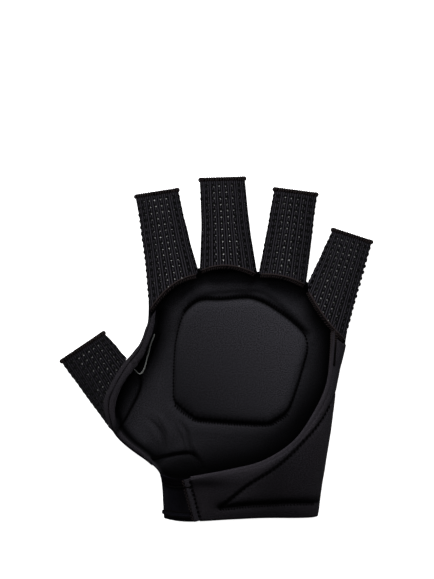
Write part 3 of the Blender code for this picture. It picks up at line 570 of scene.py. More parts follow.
@functools.cache
def section(y):
    """The hand's left and right side, seam height and top at this y."""
    return (
        body_value(1, y) * HAND_WIDTH,
        body_value(2, y) * HAND_WIDTH,
        max(0.0, body_value(3, y)) * SIDE_SEAM_HEIGHT,
        body_value(4, y) * GLOVE_HEIGHT,
    )


def left_side(y):
    return section(y)[0]


def right_side(y):
    return section(y)[1]


def placed(shares):
    """Points given as shares of the hand's width and length."""
    return [Vector((across * HAND_WIDTH, along * BODY_LENGTH)) for across, along in shares]


def sampled(low, high, step=OUTLINE_STEP):
    count = max(1, round(abs(high - low) / step))
    return [low + (high - low) * i / count for i in range(count + 1)]


def left_edge(low, high):
    return [Vector((left_side(y), y)) for y in sampled(low, high)]


def right_edge(low, high):
    return [Vector((right_side(y), y)) for y in sampled(low, high)]


def moved_aside(line, distance):
    """The polyline moved to its left by a distance."""
    made = []
    for i, point in enumerate(line):
        run = line[min(i + 1, len(line) - 1)] - line[max(i - 1, 0)]
        run.normalize()
        made.append(point + Vector((-run.y, run.x)) * distance)
    return made


def moved_path(path, distance, lift=0.0):
    """A path in space moved to its left, seen from above, and lifted."""
    aside = moved_aside([p.to_2d() for p in path], distance)
    return [Vector((a.x, a.y, p.z + lift)) for a, p in zip(aside, path)]


def beside(points, distance):
    """A closed stitch line moved outwards by a distance."""
    line = [Vector(point[:2]) for point in points[:-1]]
    middle = sum(line, Vector((0, 0))) / len(line)
    made = []
    for before, point, after in zip(line[-1:] + line[:-1], line, line[1:] + line[:1]):
        run = (after - before).normalized()
        out = Vector((run.y, -run.x))
        made.append(point + out * math.copysign(distance, out.dot(point - middle)))
    return made


def height_at(line, x):
    """The y of a line that runs across the hand, read at x."""
    for start, end in zip(line, line[1:]):
        if min(start.x, end.x) <= x <= max(start.x, end.x) and start.x != end.x:
            return start.y + (end.y - start.y) * (x - start.x) / (end.x - start.x)
    nearest = line[0] if abs(x - line[0].x) < abs(x - line[-1].x) else line[-1]
    return nearest.y


def bell(distance, width):
    """1 at no distance, falling to nothing about two widths off."""
    return math.exp(-((distance / width) ** 2))


def clamp(value, low=0.0, high=1.0):
    return min(max(value, low), high)


def lump(height, *place):
    """Soft uneven ground of about this height."""
    return height * noise.noise(Vector(place))


def pucker(number):
    """A wave of one crest for every second stitch, by a point's number on a stitch line."""
    return math.cos(2 * math.pi * number * OUTLINE_STEP / (2 * sizes().stitch_pitch))


# Flat cloth and the hand's two surfaces
def rolled(s, y):
    """From flat cloth to the hand: x, the turn into the rounded corner, and the side's sign."""
    left, right = left_side(y) + CORNER_WIDTH, right_side(y) - CORNER_WIDTH
    if s < left:
        turn = min((left - s) / CORNER_ROLL, RIGHT_ANGLE)
        return left - CORNER_WIDTH * math.sin(turn), turn, -1
    if s > right:
        turn = min((s - right) / CORNER_ROLL, RIGHT_ANGLE)
        return right + CORNER_WIDTH * math.sin(turn), turn, 1
    return s, 0.0, 1


def flat(point):
    """From the hand, seen from above, to flat cloth."""
    left, right = left_side(point.y) + CORNER_WIDTH, right_side(point.y) - CORNER_WIDTH
    if point.x < left:
        return Vector((left - CORNER_ROLL * math.asin(min((left - point.x) / CORNER_WIDTH, 1.0)), point.y))
    if point.x > right:
        return Vector((right + CORNER_ROLL * math.asin(min((point.x - right) / CORNER_WIDTH, 1.0)), point.y))
    return point.copy()


def seam_height(y, side):
    return section(y)[2] if side < 0 else SIDE_SEAM_HEIGHT


def back_point(s, y, inset):
    """The back of the hand, moved inwards by inset."""
    x, turn, side = rolled(s, y)
    seam = seam_height(y, side)
    across = x - side * min(inset, seam) * math.sin(turn)
    return WRIST + Vector((across, y, inset + max(seam - inset, 0.0) * (1 - math.cos(turn))))


def palm_point(s, y, inset):
    """The palm side of the hand, moved inwards by inset."""
    x, turn, side = rolled(s, y)
    seam = seam_height(y, side) + GAP
    rise = (section(y)[3] - seam - inset) * math.cos(turn)
    return WRIST + Vector((x - side * inset * math.sin(turn), y, seam + rise))


def back_wall_at(s, y):
    _, turn, _ = rolled(s, y)
    return BACK_WALL + (BACK_EDGE_WALL - BACK_WALL) * math.sin(turn)


class Line:
    """A line on flat cloth, which tells how near it runs and how far along."""

    def __init__(self, points, closed=False):
        self.points = [point.to_3d() for point in (points + points[:1] if closed else points)]
        self.tree = kdtree.KDTree(len(self.points))
        for i, point in enumerate(self.points):
            self.tree.insert(point, i)
        self.tree.balance()

    def near(self, s, y):
        """The nearest point's distance and number."""
        _, index, distance = self.tree.find((s, y, 0))
        return distance, index

    def nearest(self, s, y):
        return self.tree.find((s, y, 0))[0]

    def crosswise(self, number):
        """1 where the line runs across the hand and 0 where it runs along it."""
        run = self.points[min(number + 2, len(self.points) - 1)] - self.points[max(number - 2, 0)]
        return abs(run.normalized().x)

    def swell(self, number):
        """0 just past both ends of the line and 1 at its middle."""
        return math.sin(math.pi * (number + 1) / (len(self.points) + 1)) ** 0.6


def flat_line(points, closed=False):
    """Points of the hand, as a line on flat cloth."""
    return Line([flat(point) for point in points], closed)


def stitched(shares, closed=False):
    """A stitch line from its shares, on flat cloth."""
    return flat_line(curve_through(placed(shares), closed=closed), closed)


# Cutting cloth
def crossings(outline, y):
    """Where an outline crosses this y, in order."""
    found = []
    for start, end in zip(outline, outline[1:] + outline[:1]):
        if (start.y > y) != (end.y > y):
            found.append(start.x + (end.x - start.x) * (y - start.y) / (end.y - start.y))
    return sorted(found)


def cut_cloth(outline, step=CLOTH_STEP):
    """A flat grid of faces cut to an outline, with a smooth edge, and the outline as a line."""
    border = Line(outline, closed=True)
    xs, ys = [p.x for p in outline], [p.y for p in outline]
    width, height = max(xs) - min(xs), max(ys) - min(ys)
    cloth = bmesh.new()
    cuts = {"x_segments": max(2, round(width / step)), "y_segments": max(2, round(height / step))}
    bmesh.ops.create_grid(cloth, size=0.5, **cuts)
    bmesh.ops.scale(cloth, vec=(width, height, 1), verts=cloth.verts)
    bmesh.ops.translate(cloth, vec=((max(xs) + min(xs)) / 2, (max(ys) + min(ys)) / 2, 0), verts=cloth.verts)
    rows, outside = {}, []
    for vertex in cloth.verts:
        key = round(vertex.co.y, 7)
        if key not in rows:
            rows[key] = crossings(outline, vertex.co.y)
        within = sum(1 for x in rows[key] if x < vertex.co.x) % 2
        if not within or border.near(vertex.co.x, vertex.co.y)[0] < 0.85 * step:
            outside.append(vertex)
    bmesh.ops.delete(cloth, geom=outside, context="VERTS")
    loose = [vertex for vertex in cloth.verts if not vertex.link_faces]
    bmesh.ops.delete(cloth, geom=loose, context="VERTS")
    for _ in range(4):
        edge = [vertex for vertex in cloth.verts if vertex.is_boundary]
        bmesh.ops.smooth_vert(cloth, verts=edge, factor=0.5, use_axis_x=True, use_axis_y=True)
    for inward in (EDGE_RING, 0.0):
        rim = [e for e in cloth.edges if e.is_boundary]
        grown = bmesh.ops.extrude_edge_only(cloth, edges=rim)["geom"]
        for vertex in grown:
            if isinstance(vertex, bmesh.types.BMVert):
                spot = border.nearest(vertex.co.x, vertex.co.y)
                vertex.co = spot + (vertex.co - spot).normalized() * inward
    return cloth, border


def add_uv(cloth, place):
    """Stores where each vertex lies on the flat cloth as the piece's UV map, in metres."""
    layer = cloth.loops.layers.uv.new("cloth")
    for face in cloth.faces:
        for loop in face.loops:
            loop[layer].uv = place[loop.vert]


def new_object(name, data):
    """An object in the scene, at the origin."""
    made = bpy.data.objects.new(name, data)
    bpy.context.scene.collection.objects.link(made)
    return made


def add_piece(name, cloth, finish, slot, *nodes, worn=PLAIN_PAINTED_SHADE):
    """Makes the object, smooth, with its material, on its body, in place of its nodes."""
    # A piece without its own painted shade gets one even level.
    if not cloth.verts.layers.float:
        layer = cloth.verts.layers.float.new("worn")
        for vertex in cloth.verts:
            vertex[layer] = worn
    mesh = bpy.data.meshes.new(name)
    cloth.to_mesh(mesh)
    cloth.free()
    mesh.shade_smooth()
    mesh.materials.append(finish_named(finish))
    piece = new_object(name, mesh)
    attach(piece, "root")
    if nodes:
        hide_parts(*nodes)
    return piece


def sew_panel(outline, over, under, wall, step, worn):
    """A panel of cloth with rounded edges between an over and an under surface, with its painted shade given
    point by point.
    """
    cloth, border = cut_cloth(outline, step)
    layer = cloth.verts.layers.float.new("worn")
    originals = cloth.verts[:]
    copies = bmesh.ops.duplicate(cloth, geom=originals + cloth.edges[:] + cloth.faces[:])
    twins = copies["vert_map"]
    bmesh.ops.reverse_faces(cloth, faces=[g for g in copies["geom"] if isinstance(g, bmesh.types.BMFace)])
    place = {}
    for vertex in originals:
        twin = twins[vertex]
        s, y = vertex.co.x, vertex.co.y
        place[vertex] = place[twin] = (s, y)
        top, low = over(s, y), under(s, y)
        middle = (top + low) / 2
        share = min(border.near(s, y)[0] / (wall / 2), 1.0)
        swell = math.sqrt(max(0.0, 1 - (1 - share) ** 2))
        vertex.co = middle + (top - middle) * swell
        twin.co = middle + (low - middle) * swell
    add_uv(cloth, place)
    for vertex, (s, y) in place.items():
        vertex[layer] = worn(s, y)
    edge = [vertex for vertex in cloth.verts if vertex.is_boundary]
    bmesh.ops.remove_doubles(cloth, verts=edge, dist=1e-6)
    return cloth


def padded_panel(name, node, fill, *cut, finish="lining", slot="padded_cloth"):
    """Sews a panel, which sew_panel cuts, in place of its node."""
    add_piece(name, sew_panel(*cut), finish, slot, node)


def rolled_cloth(columns, rows, spot):
    """A grid rolled to shape. Spot gives each crossing's point, and its place on the flat cloth."""
    cloth = bmesh.new()
    grid = bmesh.ops.create_grid(cloth, x_segments=columns, y_segments=rows, size=0.5)["verts"]
    place = {}
    for vertex in grid:
        column, row = round((vertex.co.x + 0.5) * columns), round((vertex.co.y + 0.5) * rows)
        vertex.co, place[vertex] = spot(column, row)
    seam = [v for v in grid if v.is_boundary]
    add_uv(cloth, place)
    bmesh.ops.remove_doubles(cloth, verts=seam, dist=1e-7)
    return cloth


def scattered(cloth, shape, matrices, group=24):
    """Adds a small shape once for each matrix. A group is made apart, which keeps each step light."""
    for first in range(0, len(matrices), group):
        few = bmesh.new()
        for matrix in matrices[first : first + group]:
            bmesh.ops.create_uvsphere(few, radius=1.0, matrix=matrix, calc_uvs=False, **shape)
        mesh = bpy.data.meshes.new("few")
        few.to_mesh(mesh)
        few.free()
        cloth.from_mesh(mesh)
        bpy.data.meshes.remove(mesh)


def frames_along(path, up=None):
    """A point, direction, sideways and upward axis at each point of a path."""
    made = []
    for i, point in enumerate(path):
        run = (path[min(i + 1, len(path) - 1)] - path[max(i - 1, 0)]).normalized()
        above = (up[i] if up else UP).normalized()
        aside = run.cross(above).normalized()
        made.append((point, run, aside, aside.cross(run)))
    return made


def yarn_cloth():
    """An empty mesh with the UV map that sweep fills."""
    cloth = bmesh.new()
    cloth.loops.layers.uv.new("cloth")
    return cloth


def sweep(cloth, path, radius, sides=6, up=None, squash=1.0):
    """A round or flattened yarn along a path, made from a grid that is rolled round it."""
    count = len(path)
    rolls = frames_along(path, up)
    before = set(cloth.verts)
    grid = bmesh.ops.create_grid(cloth, x_segments=count - 1, y_segments=sides, size=0.5)["verts"]
    layer = cloth.loops.layers.uv["cloth"]
    place = {}
    length = running_lengths(path)[-1]
    for vertex in grid:
        along = round((vertex.co.x + 0.5) * (count - 1))
        turn = round((vertex.co.y + 0.5) * sides)
        place[vertex] = (length * along / (count - 1), 2 * math.pi * radius * turn / sides)
        point, _, aside, above = rolls[along]
        angle = -2 * math.pi * turn / sides
        vertex.co = point + (aside * math.cos(angle) + above * math.sin(angle) * squash) * radius
    for face in {face for vertex in grid for face in vertex.link_faces}:
        for loop in face.loops:
            loop[layer].uv = place[loop.vert]
    seam = [v for v in grid if v.is_boundary]
    bmesh.ops.remove_doubles(cloth, verts=seam, dist=1e-7)
    made = [v for v in cloth.verts if v not in before and v.is_boundary]
    rings = {e for v in made for e in v.link_edges if e.is_boundary}
    bmesh.ops.holes_fill(cloth, edges=list(rings), sides=sides)


def stitch_row(cloth, path, ups, length, radius, slant, lift, only=None):
    """Short stitches laid across a path, each a slim bead sunk at both ends."""
    matrices = []
    for number, (point, run, aside, above) in enumerate(frames_along(path, ups)):
        if only is not None and number not in only:
            continue
        lean = aside * math.cos(slant) + run * math.sin(slant)
        third = lean.cross(above).normalized()
        turn = Matrix((lean, third, lean.cross(third) * -1)).transposed().to_4x4()
        size = Matrix.Diagonal((length / 2, radius, radius, 1))
        matrices.append(Matrix.Translation(point + above * lift) @ turn @ size)
    scattered(cloth, {"u_segments": 7, "v_segments": 5}, matrices)


def surface_path(line, over, pitch):
    """Even points and upward normals along a stitch line on a surface."""
    spots = evenly([point.to_2d() for point in line.points], pitch)
    path, ups = [], []
    for spot in spots:
        here = over(spot.x, spot.y)
        d = 0.0006
        across = over(spot.x + d, spot.y) - over(spot.x - d, spot.y)
        along = over(spot.x, spot.y + d) - over(spot.x, spot.y - d)
        path.append(here)
        ups.append(across.cross(along).normalized())
    return path, ups


def sew_row(cloth, line, over, pitch, length, radius, slant, lift, short=0):
    """A row of stitches along a line, this many stitches short of its end."""
    path, ups = surface_path(line, over, sizes().stitch_pitch * pitch)
    stitch_row(cloth, path, ups, length, radius, slant, lift, range(len(path) - short))


# Sleeves
def signed_power(value, power):
    return math.copysign(abs(value) ** power, value)


class Sleeve:
    """A flattened tube from a straight tip to a base that ends lower on the palm side than on the back."""

    def __init__(self, name, tip, turn, width, flare, back_base, palm_base, dents):
        self.name = name
        self.tip = tip
        self.across = Vector((math.cos(turn), math.sin(turn)))
        self.along = heading(turn)
        self.width = width
        self.flare = flare
        self.back_base = back_base
        self.palm_base = palm_base
        self.dents = dents
        self.base_width = (back_base(1.0) - back_base(0.0)).length
        self.tip_floor = TIP_HEM_RADIUS + TIP_HEM_OUTSET - SLEEVE_WALL / 2
        self.low_rise = 2 * (SIDE_SEAM_HEIGHT + SEAM_LIFT) / BASE_HEIGHT - 1
        self.high_rise = self.low_rise + 2 * SEAM_BLEND / BASE_HEIGHT
        self.turns, self.girth = self.even_turns()

    def palm_share(self, rise):
        return clamp((rise - self.low_rise) / (self.high_rise - self.low_rise))

    def point(self, angle, down, inset):
        """Angle 0 is the right side and a quarter turn the palm. Down is 0 at the tip and 1 at the base."""
        width = self.width + (self.base_width - self.width) * down
        side = signed_power(math.cos(angle), 2 / SECTION_POWER) * (1 - 2 * inset / width)
        rise = signed_power(math.sin(angle), 2 / SECTION_POWER)
        share = (1 + side) / 2
        start = self.tip + self.across * (share - 0.5) * self.width
        back, palm = self.back_base(share), self.palm_base(share)
        end = back + (palm - back) * self.palm_share(rise)
        flare = (self.base_width - self.width) * (down**self.flare - down)
        spot = start + (end - start) * down + self.across * (share - 0.5) * flare
        floor = self.tip_floor * (1 - down)
        half = (TIP_HEIGHT + (BASE_HEIGHT - TIP_HEIGHT) * down) / 2
        return WRIST + Vector((spot.x, spot.y, floor + half + (half - inset) * rise))

    def even_turns(self, cuts=720):
        """Angles from the right side over the palm with how far round each lies, and the girth."""
        angles = [2 * math.pi * i / cuts for i in range(cuts + 1)]
        lengths = running_lengths([self.point(angle, 0.4, 0.0) for angle in angles])
        return (angles, lengths), lengths[-1]

    def angle_at(self, distance):
        """The angle this far round from the right side."""
        angles, lengths = self.turns
        distance %= self.girth
        high = min(bisect.bisect_right(lengths, distance), len(lengths) - 1)
        low = high - 1
        share = (distance - lengths[low]) / max(lengths[high] - lengths[low], 1e-12)
        return angles[low] + (angles[high] - angles[low]) * share

    def crown(self):
        """How far round the middle of the palm side lies."""
        angles, lengths = self.turns
        return lengths[len(angles) // 4]

    def length(self, angle):
        return (self.point(angle, 1.0, 0.0) - self.point(angle, 0.0, 0.0)).length

    def normal(self, distance, down):
        """The outward direction of the smooth sleeve."""
        d = 0.0004
        before, here, after = (self.angle_at(distance + step) for step in (-d, 0.0, d))
        round_it = self.point(after, down, 0.0) - self.point(before, down, 0.0)
        up_it = self.point(here, down - 0.01, 0.0) - self.point(here, down + 0.01, 0.0)
        return round_it.cross(up_it).normalized() * -1

    def dot_columns(self):
        pitch = sizes().dot_pitch_across
        half = self.crown() / pitch
        count = int(half * 2 - 0.1)
        return [self.crown() + (i - (count - 1) / 2) * pitch for i in range(count)]

    def dot_rows(self, angle):
        pitch = sizes().dot_pitch_along
        length = self.length(angle)
        count = int((length - 0.0032) / pitch)
        return [(DOT_START + i * pitch) / length for i in range(count + 1)]

    def dent(self, distance, down):
        """Soft dents and ripples of the empty sleeve."""
        ripple = lump(0.00042, distance * 90, down * 3.2, self.dents)
        gather = lump(0.00016, distance * 420, down * 1.5, self.dents + 7) * max(0.0, 1 - down * 6)
        return (ripple + gather) * math.sin(math.pi * clamp(down, 0.02, 0.98)) ** 0.5 + gather


def knuckle_line():
    points = placed(KNUCKLES)
    points[0].x = left_side(points[0].y)
    points[-1].x = right_side(points[-1].y)
    return points


def heading(turn):
    """The way that a sleeve points when it is turned to the left by this."""
    return Vector((-math.sin(turn), math.cos(turn)))


@functools.cache
def finger(index):
    """The sleeve between two neighbouring points of the knuckle line."""
    name, lean, cut, length, width, left_drop, right_drop, bow, flare = FINGERS[index]
    knuckles = knuckle_line()
    turn = math.radians(lean)
    axis = heading(turn)
    middle = (knuckles[index] + knuckles[index + 1]) / 2
    low_left = knuckles[index] - Vector((0, left_drop * BODY_LENGTH))
    low_right = knuckles[index + 1] - Vector((0, right_drop * BODY_LENGTH))
    if index == 0:
        low_left.x = left_side(low_left.y)
    if index == len(FINGERS) - 1:
        low_right.x = right_side(low_right.y)
    aside = (knuckles[index + 1] - knuckles[index]).normalized() * GAP

    def back_base(share):
        return point_on(knuckles, index + share) + axis * GAP + aside * (1 - 2 * share)

    def palm_base(share):
        straight = low_left + (low_right - low_left) * share
        return straight + axis * 4 * bow * HAND_WIDTH * share * (1 - share) + aside * (1 - 2 * share)

    tip = middle + axis * length * FINGER_LENGTH
    width *= FINGER_WIDTH
    return Sleeve(name, tip, math.radians(cut), width, flare, back_base, palm_base, index * 11.0)


@functools.cache
def thumb():
    """The thumb's sleeve, which opens into the hand's left side."""
    low, high = (share * BODY_LENGTH for share in THUMB_BASE)
    turn = math.radians(THUMB_LEAN)
    axis = heading(turn)

    def back_base(share):
        y = low + (high - low) * share
        return Vector((left_side(y) - 2 * GAP, y))

    def palm_base(share):
        return back_base(share) + axis * 4 * THUMB_BOW * HAND_WIDTH * share * (1 - share)

    tip = (back_base(0.0) + back_base(1.0)) / 2 + axis * THUMB_LENGTH
    return Sleeve("thumb", tip, math.radians(THUMB_CUT), THUMB_WIDTH, THUMB_FLARE, back_base, palm_base, 57.0)


def sleeves():
    return [finger(index) for index in range(len(FINGERS))] + [thumb()]


def knit_sleeve(sleeve):
    """The ribbed tube, whose ribs part round the grip dots."""
    pitch, dot_pitch = sizes().rib_pitch, sizes().dot_pitch_along
    ribs = round(sleeve.girth / pitch)
    around = ribs * RIB_CUTS
    dots = sleeve.dot_columns()
    rows = [(i / SLEEVE_ROWS, True) for i in range(SLEEVE_ROWS + 1)]
    rows += [(1 - i / LINING_ROWS, False) for i in range(LINING_ROWS + 1)]
    angles = [sleeve.angle_at(sleeve.girth * i / around) for i in range(around + 1)]
    lengths = [sleeve.length(angle) for angle in angles]

    def spot(column, row):
        down, outside = rows[row % len(rows)]
        inset = SLEEVE_WALL
        if outside:
            distance = sleeve.girth * (column % around) / around
            off = distance - min(dots, key=lambda c: abs(c - distance))
            beat = (1 + math.cos(2 * math.pi * (down * lengths[column] - DOT_START) / dot_pitch)) / 2
            beside = math.exp(-abs(off) / 0.0011) if abs(off) < 0.003 else 0.0
            pushed = distance - math.copysign(0.00022 * beat * beside, off)
            wave = abs(math.cos(math.pi * pushed * ribs / sleeve.girth))
            inset = sizes().rib_height * (1 - wave**0.7) + 0.00014 * beat * bell(off, 0.0011)
            inset -= sleeve.dent(distance, down)
        return sleeve.point(angles[column], down, inset), (pitch * column / RIB_CUTS, down * lengths[column])

    cloth = rolled_cloth(around, len(rows), spot)
    bmesh.ops.recalc_face_normals(cloth, faces=cloth.faces)
    # Painted shade: the thumb's knit is painted darker than the fingers'.
    worn = 0.62 if sleeve.name == "thumb" else 0.92
    name = f"{sleeve.name}_sleeve"
    piece = add_piece(f"{name}_knit", cloth, "knit", "grip_knit", name, worn=worn)


def grip_dots(sleeve):
    """Domes of clear rubber in a grid over the palm side of the knit."""
    matrices = []
    dice = random.Random(int(sleeve.dents) + 5)
    for distance in sleeve.dot_columns():
        angle = sleeve.angle_at(distance)
        for down in sleeve.dot_rows(angle):
            if down > 0.985:
                continue
            out = sleeve.normal(distance, down)
            size = sizes().dot_radius * dice.uniform(0.86, 1.10)
            tilt = Vector((dice.uniform(-1, 1), dice.uniform(-1, 1), dice.uniform(-1, 1))) * 0.05
            turn = (out + tilt).to_track_quat("Z", "Y").to_matrix().to_4x4()
            seat = sleeve.point(angle, down, -sleeve.dent(distance, down))
            matrix = Matrix.Translation(seat - out * size * 0.02) @ turn
            matrices.append(matrix @ Matrix.Diagonal((size, size * 1.06, size * 0.21, 1)))
    cloth = bmesh.new()
    scattered(cloth, {"u_segments": 12, "v_segments": 7}, matrices)
    return add_piece(f"{sleeve.name}_grip_dots", cloth, "grip", "grip_knit")


def overlocked(name, path, ups, radius, seed, *nodes, core=0.80, taper=0.0):
    """An overlocked edge: a soft dark core wrapped by slanted loops of yarn."""
    cloth = yarn_cloth()
    sweep(cloth, path, radius * core, sides=8, up=ups)
    add_piece(f"{name}_core", cloth, "stitch", "thread")
    cloth = yarn_cloth()
    dice = random.Random(seed)
    count = round(running_lengths(path)[-1] / sizes().overlock_pitch)
    rolls = frames_along(path, ups)
    for loop in range(count):
        wrap, tops = [], []
        wobble = dice.uniform(-0.12, 0.12)
        for i in range(WRAP_POINTS + 1):
            share = (loop + wobble + (i / WRAP_POINTS) * 0.96) / count
            place = clamp(share, 0.0, 0.9999) * (len(rolls) - 1)
            low = int(place)
            high = min(low + 1, len(rolls) - 1)
            mix = place - low
            point, _, aside, above = (a.lerp(b, mix) for a, b in zip(rolls[low], rolls[high]))
            angle = 2 * math.pi * i / WRAP_POINTS + 0.6
            out = aside * math.cos(angle) + above * math.sin(angle)
            wrap.append(point + out * radius * 0.86 * (1 - taper * share))
            tops.append(out)
        sweep(cloth, wrap, radius * 0.25, sides=5, up=tops)
    return add_piece(name, cloth, "yarn", "thread", *nodes)


def hem_ring(sleeve):
    """The path of an overlocked tip, with its outward directions."""
    outward = sleeve.along.to_3d()
    middle = SLEEVE_WALL / 2 - TIP_HEM_OUTSET
    path = []
    for i in range(HEM_RING_POINTS):
        spot = sleeve.point(sleeve.angle_at(sleeve.girth * i / HEM_RING_POINTS), 0.0, middle)
        path.append(spot + outward * (TIP_HEM_RADIUS * 0.9))
    return path, [outward] * len(path)


def base_hem_path(sleeve):
    shares = [0.03 + 0.94 * i / 90 for i in range(91)]
    seam = [sleeve.point(math.pi - math.acos(1 - 2 * share), 1.0, SLEEVE_WALL / 2) for share in shares]
    return moved_path(seam, -BASE_HEM_RADIUS * 0.9)


class GLOVE_OT_sleeves(bpy.types.Operator):
    """Knits the finger and thumb sleeves, prints their grip dots and overlocks their edges"""

    bl_idname = "glove.sleeves"
    bl_label = "Knit sleeves"

    def execute(self, context):
        for number, sleeve in enumerate(sleeves()):
            knit_sleeve(sleeve)
            grip_dots(sleeve)
            path, ups = hem_ring(sleeve)
            path, ups = path + path[:1], ups + ups[:1]
            tip = f"{sleeve.name}_tip_hem"
            overlocked(f"{sleeve.name}_tip_overlock", path, ups, TIP_HEM_RADIUS * 1.15, number + 20, tip)
            if sleeve.name != "thumb":
                name = f"{sleeve.name}_base"
                path = base_hem_path(sleeve)
                overlocked(f"{name}_overlock", path, None, BASE_HEM_RADIUS * 0.7, number + 40, f"{name}_hem")
                cloth = yarn_cloth()
                cord = moved_path(path, BASE_HEM_RADIUS * 1.15, BASE_HEM_RADIUS * 0.55)
                sweep(cloth, cord, BASE_HEM_RADIUS * 0.42, sides=6)
                add_piece(f"{name}_cord", cloth, "yarn", "thread")
        return {"FINISHED"}


# The back of the hand
def hem_line():
    return curve_through(placed(HEM))


def hem_between(first, last):
    hem = hem_line()
    return [Vector((x, height_at(hem, x))) for x in sampled(first, last)]


def thumb_seam():
    ends = [Vector((left_side(y), y)) for y in (SEAM_LOW, SEAM_HIGH)]
    return [ends[0], *placed(THUMB_SEAM), ends[1]]


def opening_line():
    """The whole rim of the palm opening: heel, gusset, strip and the sleeves' lower edges."""
    line = rim_line() + curve_through(placed(GUSSET_TOP))
    line += [strip_at(i / 200 * (len(STRIP) - 1))[1] for i in range(201)]
    for sleeve in sleeves()[:-1]:
        line += [sleeve.palm_base(i / 60).copy() for i in range(61)]
    return line


@functools.cache
def back_lines():
    """The stitch lines, creases and pad outline of the back panel's inside, and the rims and opening that its
    painted shade follows.
    """
    return {
        "wrist": stitched(WRIST_LINE),
        "fold": stitched(PAD_FOLD),
        "pad": stitched(PAD_OUTLINE, closed=True),
        "thumb": flat_line(curve_through(thumb_seam())),
        "opening": stitched(MIDDLE_OPENING),
        "rims": flat_line(opening_line()),
        "creases": [(depth, width, stitched(line)) for depth, width, line in CREASES],
    }


def creases_near(s, y):
    """For each crease its depth here, its width, and how far off it runs."""
    for depth, width, line in back_lines()["creases"]:
        off, number = line.near(s, y)
        yield depth * line.swell(number), width, off


def back_relief(s, y):
    """How far the inside of the back stands above or below its plain wall."""
    lines = back_lines()
    off, _ = lines["wrist"].near(s, y)
    height = -0.0018 * bell(off, 0.0010) + 0.0006 * bell(off - 0.0032, 0.0024)
    off, number = lines["fold"].near(s, y)
    share = number / len(lines["fold"].points)
    height -= (0.0001 + 0.0018 * share) * bell(off, 0.0013 + 0.0006 * share)
    height += 0.0006 * bell(off - 0.0042, 0.0026)
    off, number = lines["pad"].near(s, y)
    cross = lines["pad"].crosswise(number)
    height -= (0.0006 + 0.0015 * cross) * bell(off, 0.0009 + 0.0006 * cross)
    height += 0.0006 * bell(off - 0.0055, 0.0032)
    height += 0.00016 * pucker(number) * bell(off - 0.0018, 0.0012)
    off, _ = lines["thumb"].near(s, y)
    height -= 0.0010 * bell(off, 0.0010)
    for depth, width, off in creases_near(s, y):
        height += -depth * bell(off, width) + 0.55 * depth * bell(off - 2.2 * width, 1.3 * width)
    height += lump(0.0005, s * 62, y * 48, 3)
    height += lump(0.00016, s * 210, y * 170, 9)
    return height * (0.2 + 0.8 * math.cos(rolled(s, y)[1]))


def back_painted_shade(s, y):
    """Painted shade on the lining: dark under the rims of the palm opening, in the pad's stitched gutter with
    a painted shadow band above its top edge, in the thumb seam, the wrist line, the creases and the middle
    finger's opening, and lighter towards the middle.
    """
    lines = back_lines()
    across, along = s / HAND_WIDTH, y / BODY_LENGTH
    # Painted shade under the rims of the opening: it reaches furthest in towards the wrist, and less far by
    # the hand's left side and the knuckles.
    reach = 0.0117 + 0.0310 * clamp(0.70 - along, 0.0, 0.336)
    narrow = 0.008 - 0.004 * clamp((0.50 - along) / 0.1)
    reach = narrow + (reach - narrow) * clamp((across + 0.48) / 0.2)
    reach -= 0.0045 * clamp((along - 0.80) / 0.08)
    edge = lines["rims"].near(s, y)[0] / reach
    # Painted shade in the pad's gutter, strongest where it runs across the hand, with a painted shadow band
    # above its top edge.
    off, number = lines["pad"].near(s, y)
    cross = lines["pad"].crosswise(number)
    top = 1.0 if along > 0.6 else 0.0
    gutter = 1 - (0.10 + 0.88 * cross) * bell(off, 0.0005 + (0.0005 + 0.0006 * top) * cross)
    rightward = clamp((across + 0.10) / 0.22)
    gutter *= 1 - (0.15 + 0.65 * rightward) * cross * top * bell(off - 0.0016, 0.0016)
    # Painted shade in the thumb seam, the wrist line, the middle finger's opening and the creases.
    gutter *= 1 - 0.75 * bell(lines["thumb"].near(s, y)[0], 0.0005)
    off, number = lines["wrist"].near(s, y)
    fade = min(1.0, 1.9 * (1 - number / len(lines["wrist"].points)))
    gutter *= 1 - 0.97 * fade * bell(off, 0.0009)
    gutter *= 1 - 0.9 * bell(lines["opening"].near(s, y)[0], 0.0016)
    for depth, width, off in creases_near(s, y):
        gutter *= 1 - 450 * depth * (along < 0.45) * bell(off, 0.55 * width)
    return 0.64 * edge**1.5 / (1 + edge**6) ** 0.25 * gutter


def back_inside(s, y):
    return back_point(s, y, max(back_wall_at(s, y) + back_relief(s, y), 0.0008))


def back_outside(s, y):
    """The outer cloth of the back, pressed flat where it lies on the floor."""
    _, turn, _ = rolled(s, y)
    puff = lump(0.0002, s * 70, y * 60, 21) * math.sin(turn) ** 2
    return back_point(s, y, max(puff, 0.0) + 0.00002)


def back_outline():
    knuckles = knuckle_line()
    seam = [p - Vector((SEAM_LAP / 2, 0)) for p in curve_through(thumb_seam())[1:-1]]
    hem = hem_between(left_side(0.0), right_side(0.0))
    outline = right_edge(hem[-1].y, knuckles[-1].y)[1:-1]
    outline += reversed([p + Vector((0, KNUCKLE_LAP)) for p in curve_through(knuckles)])
    outline += reversed(left_edge(SEAM_HIGH + GAP, knuckles[0].y)[:-1])
    outline += reversed(seam)
    outline += reversed(left_edge(hem[0].y, SEAM_LOW - GAP)[1:])
    return [flat(p) for p in outline + hem]


def thumb_back_outline():
    seam = [p + Vector((SEAM_LAP / 2, 0)) for p in curve_through(thumb_seam())[1:-1]]
    seam = [p for p in seam if p.y < SEAM_HIGH - SEAM_END]
    return [flat(p) for p in seam + list(reversed(left_edge(SEAM_LOW + GAP, SEAM_HIGH - SEAM_END)))]


def pad_seat(s, y):
    return back_point(s, y, PAD_SEAT)


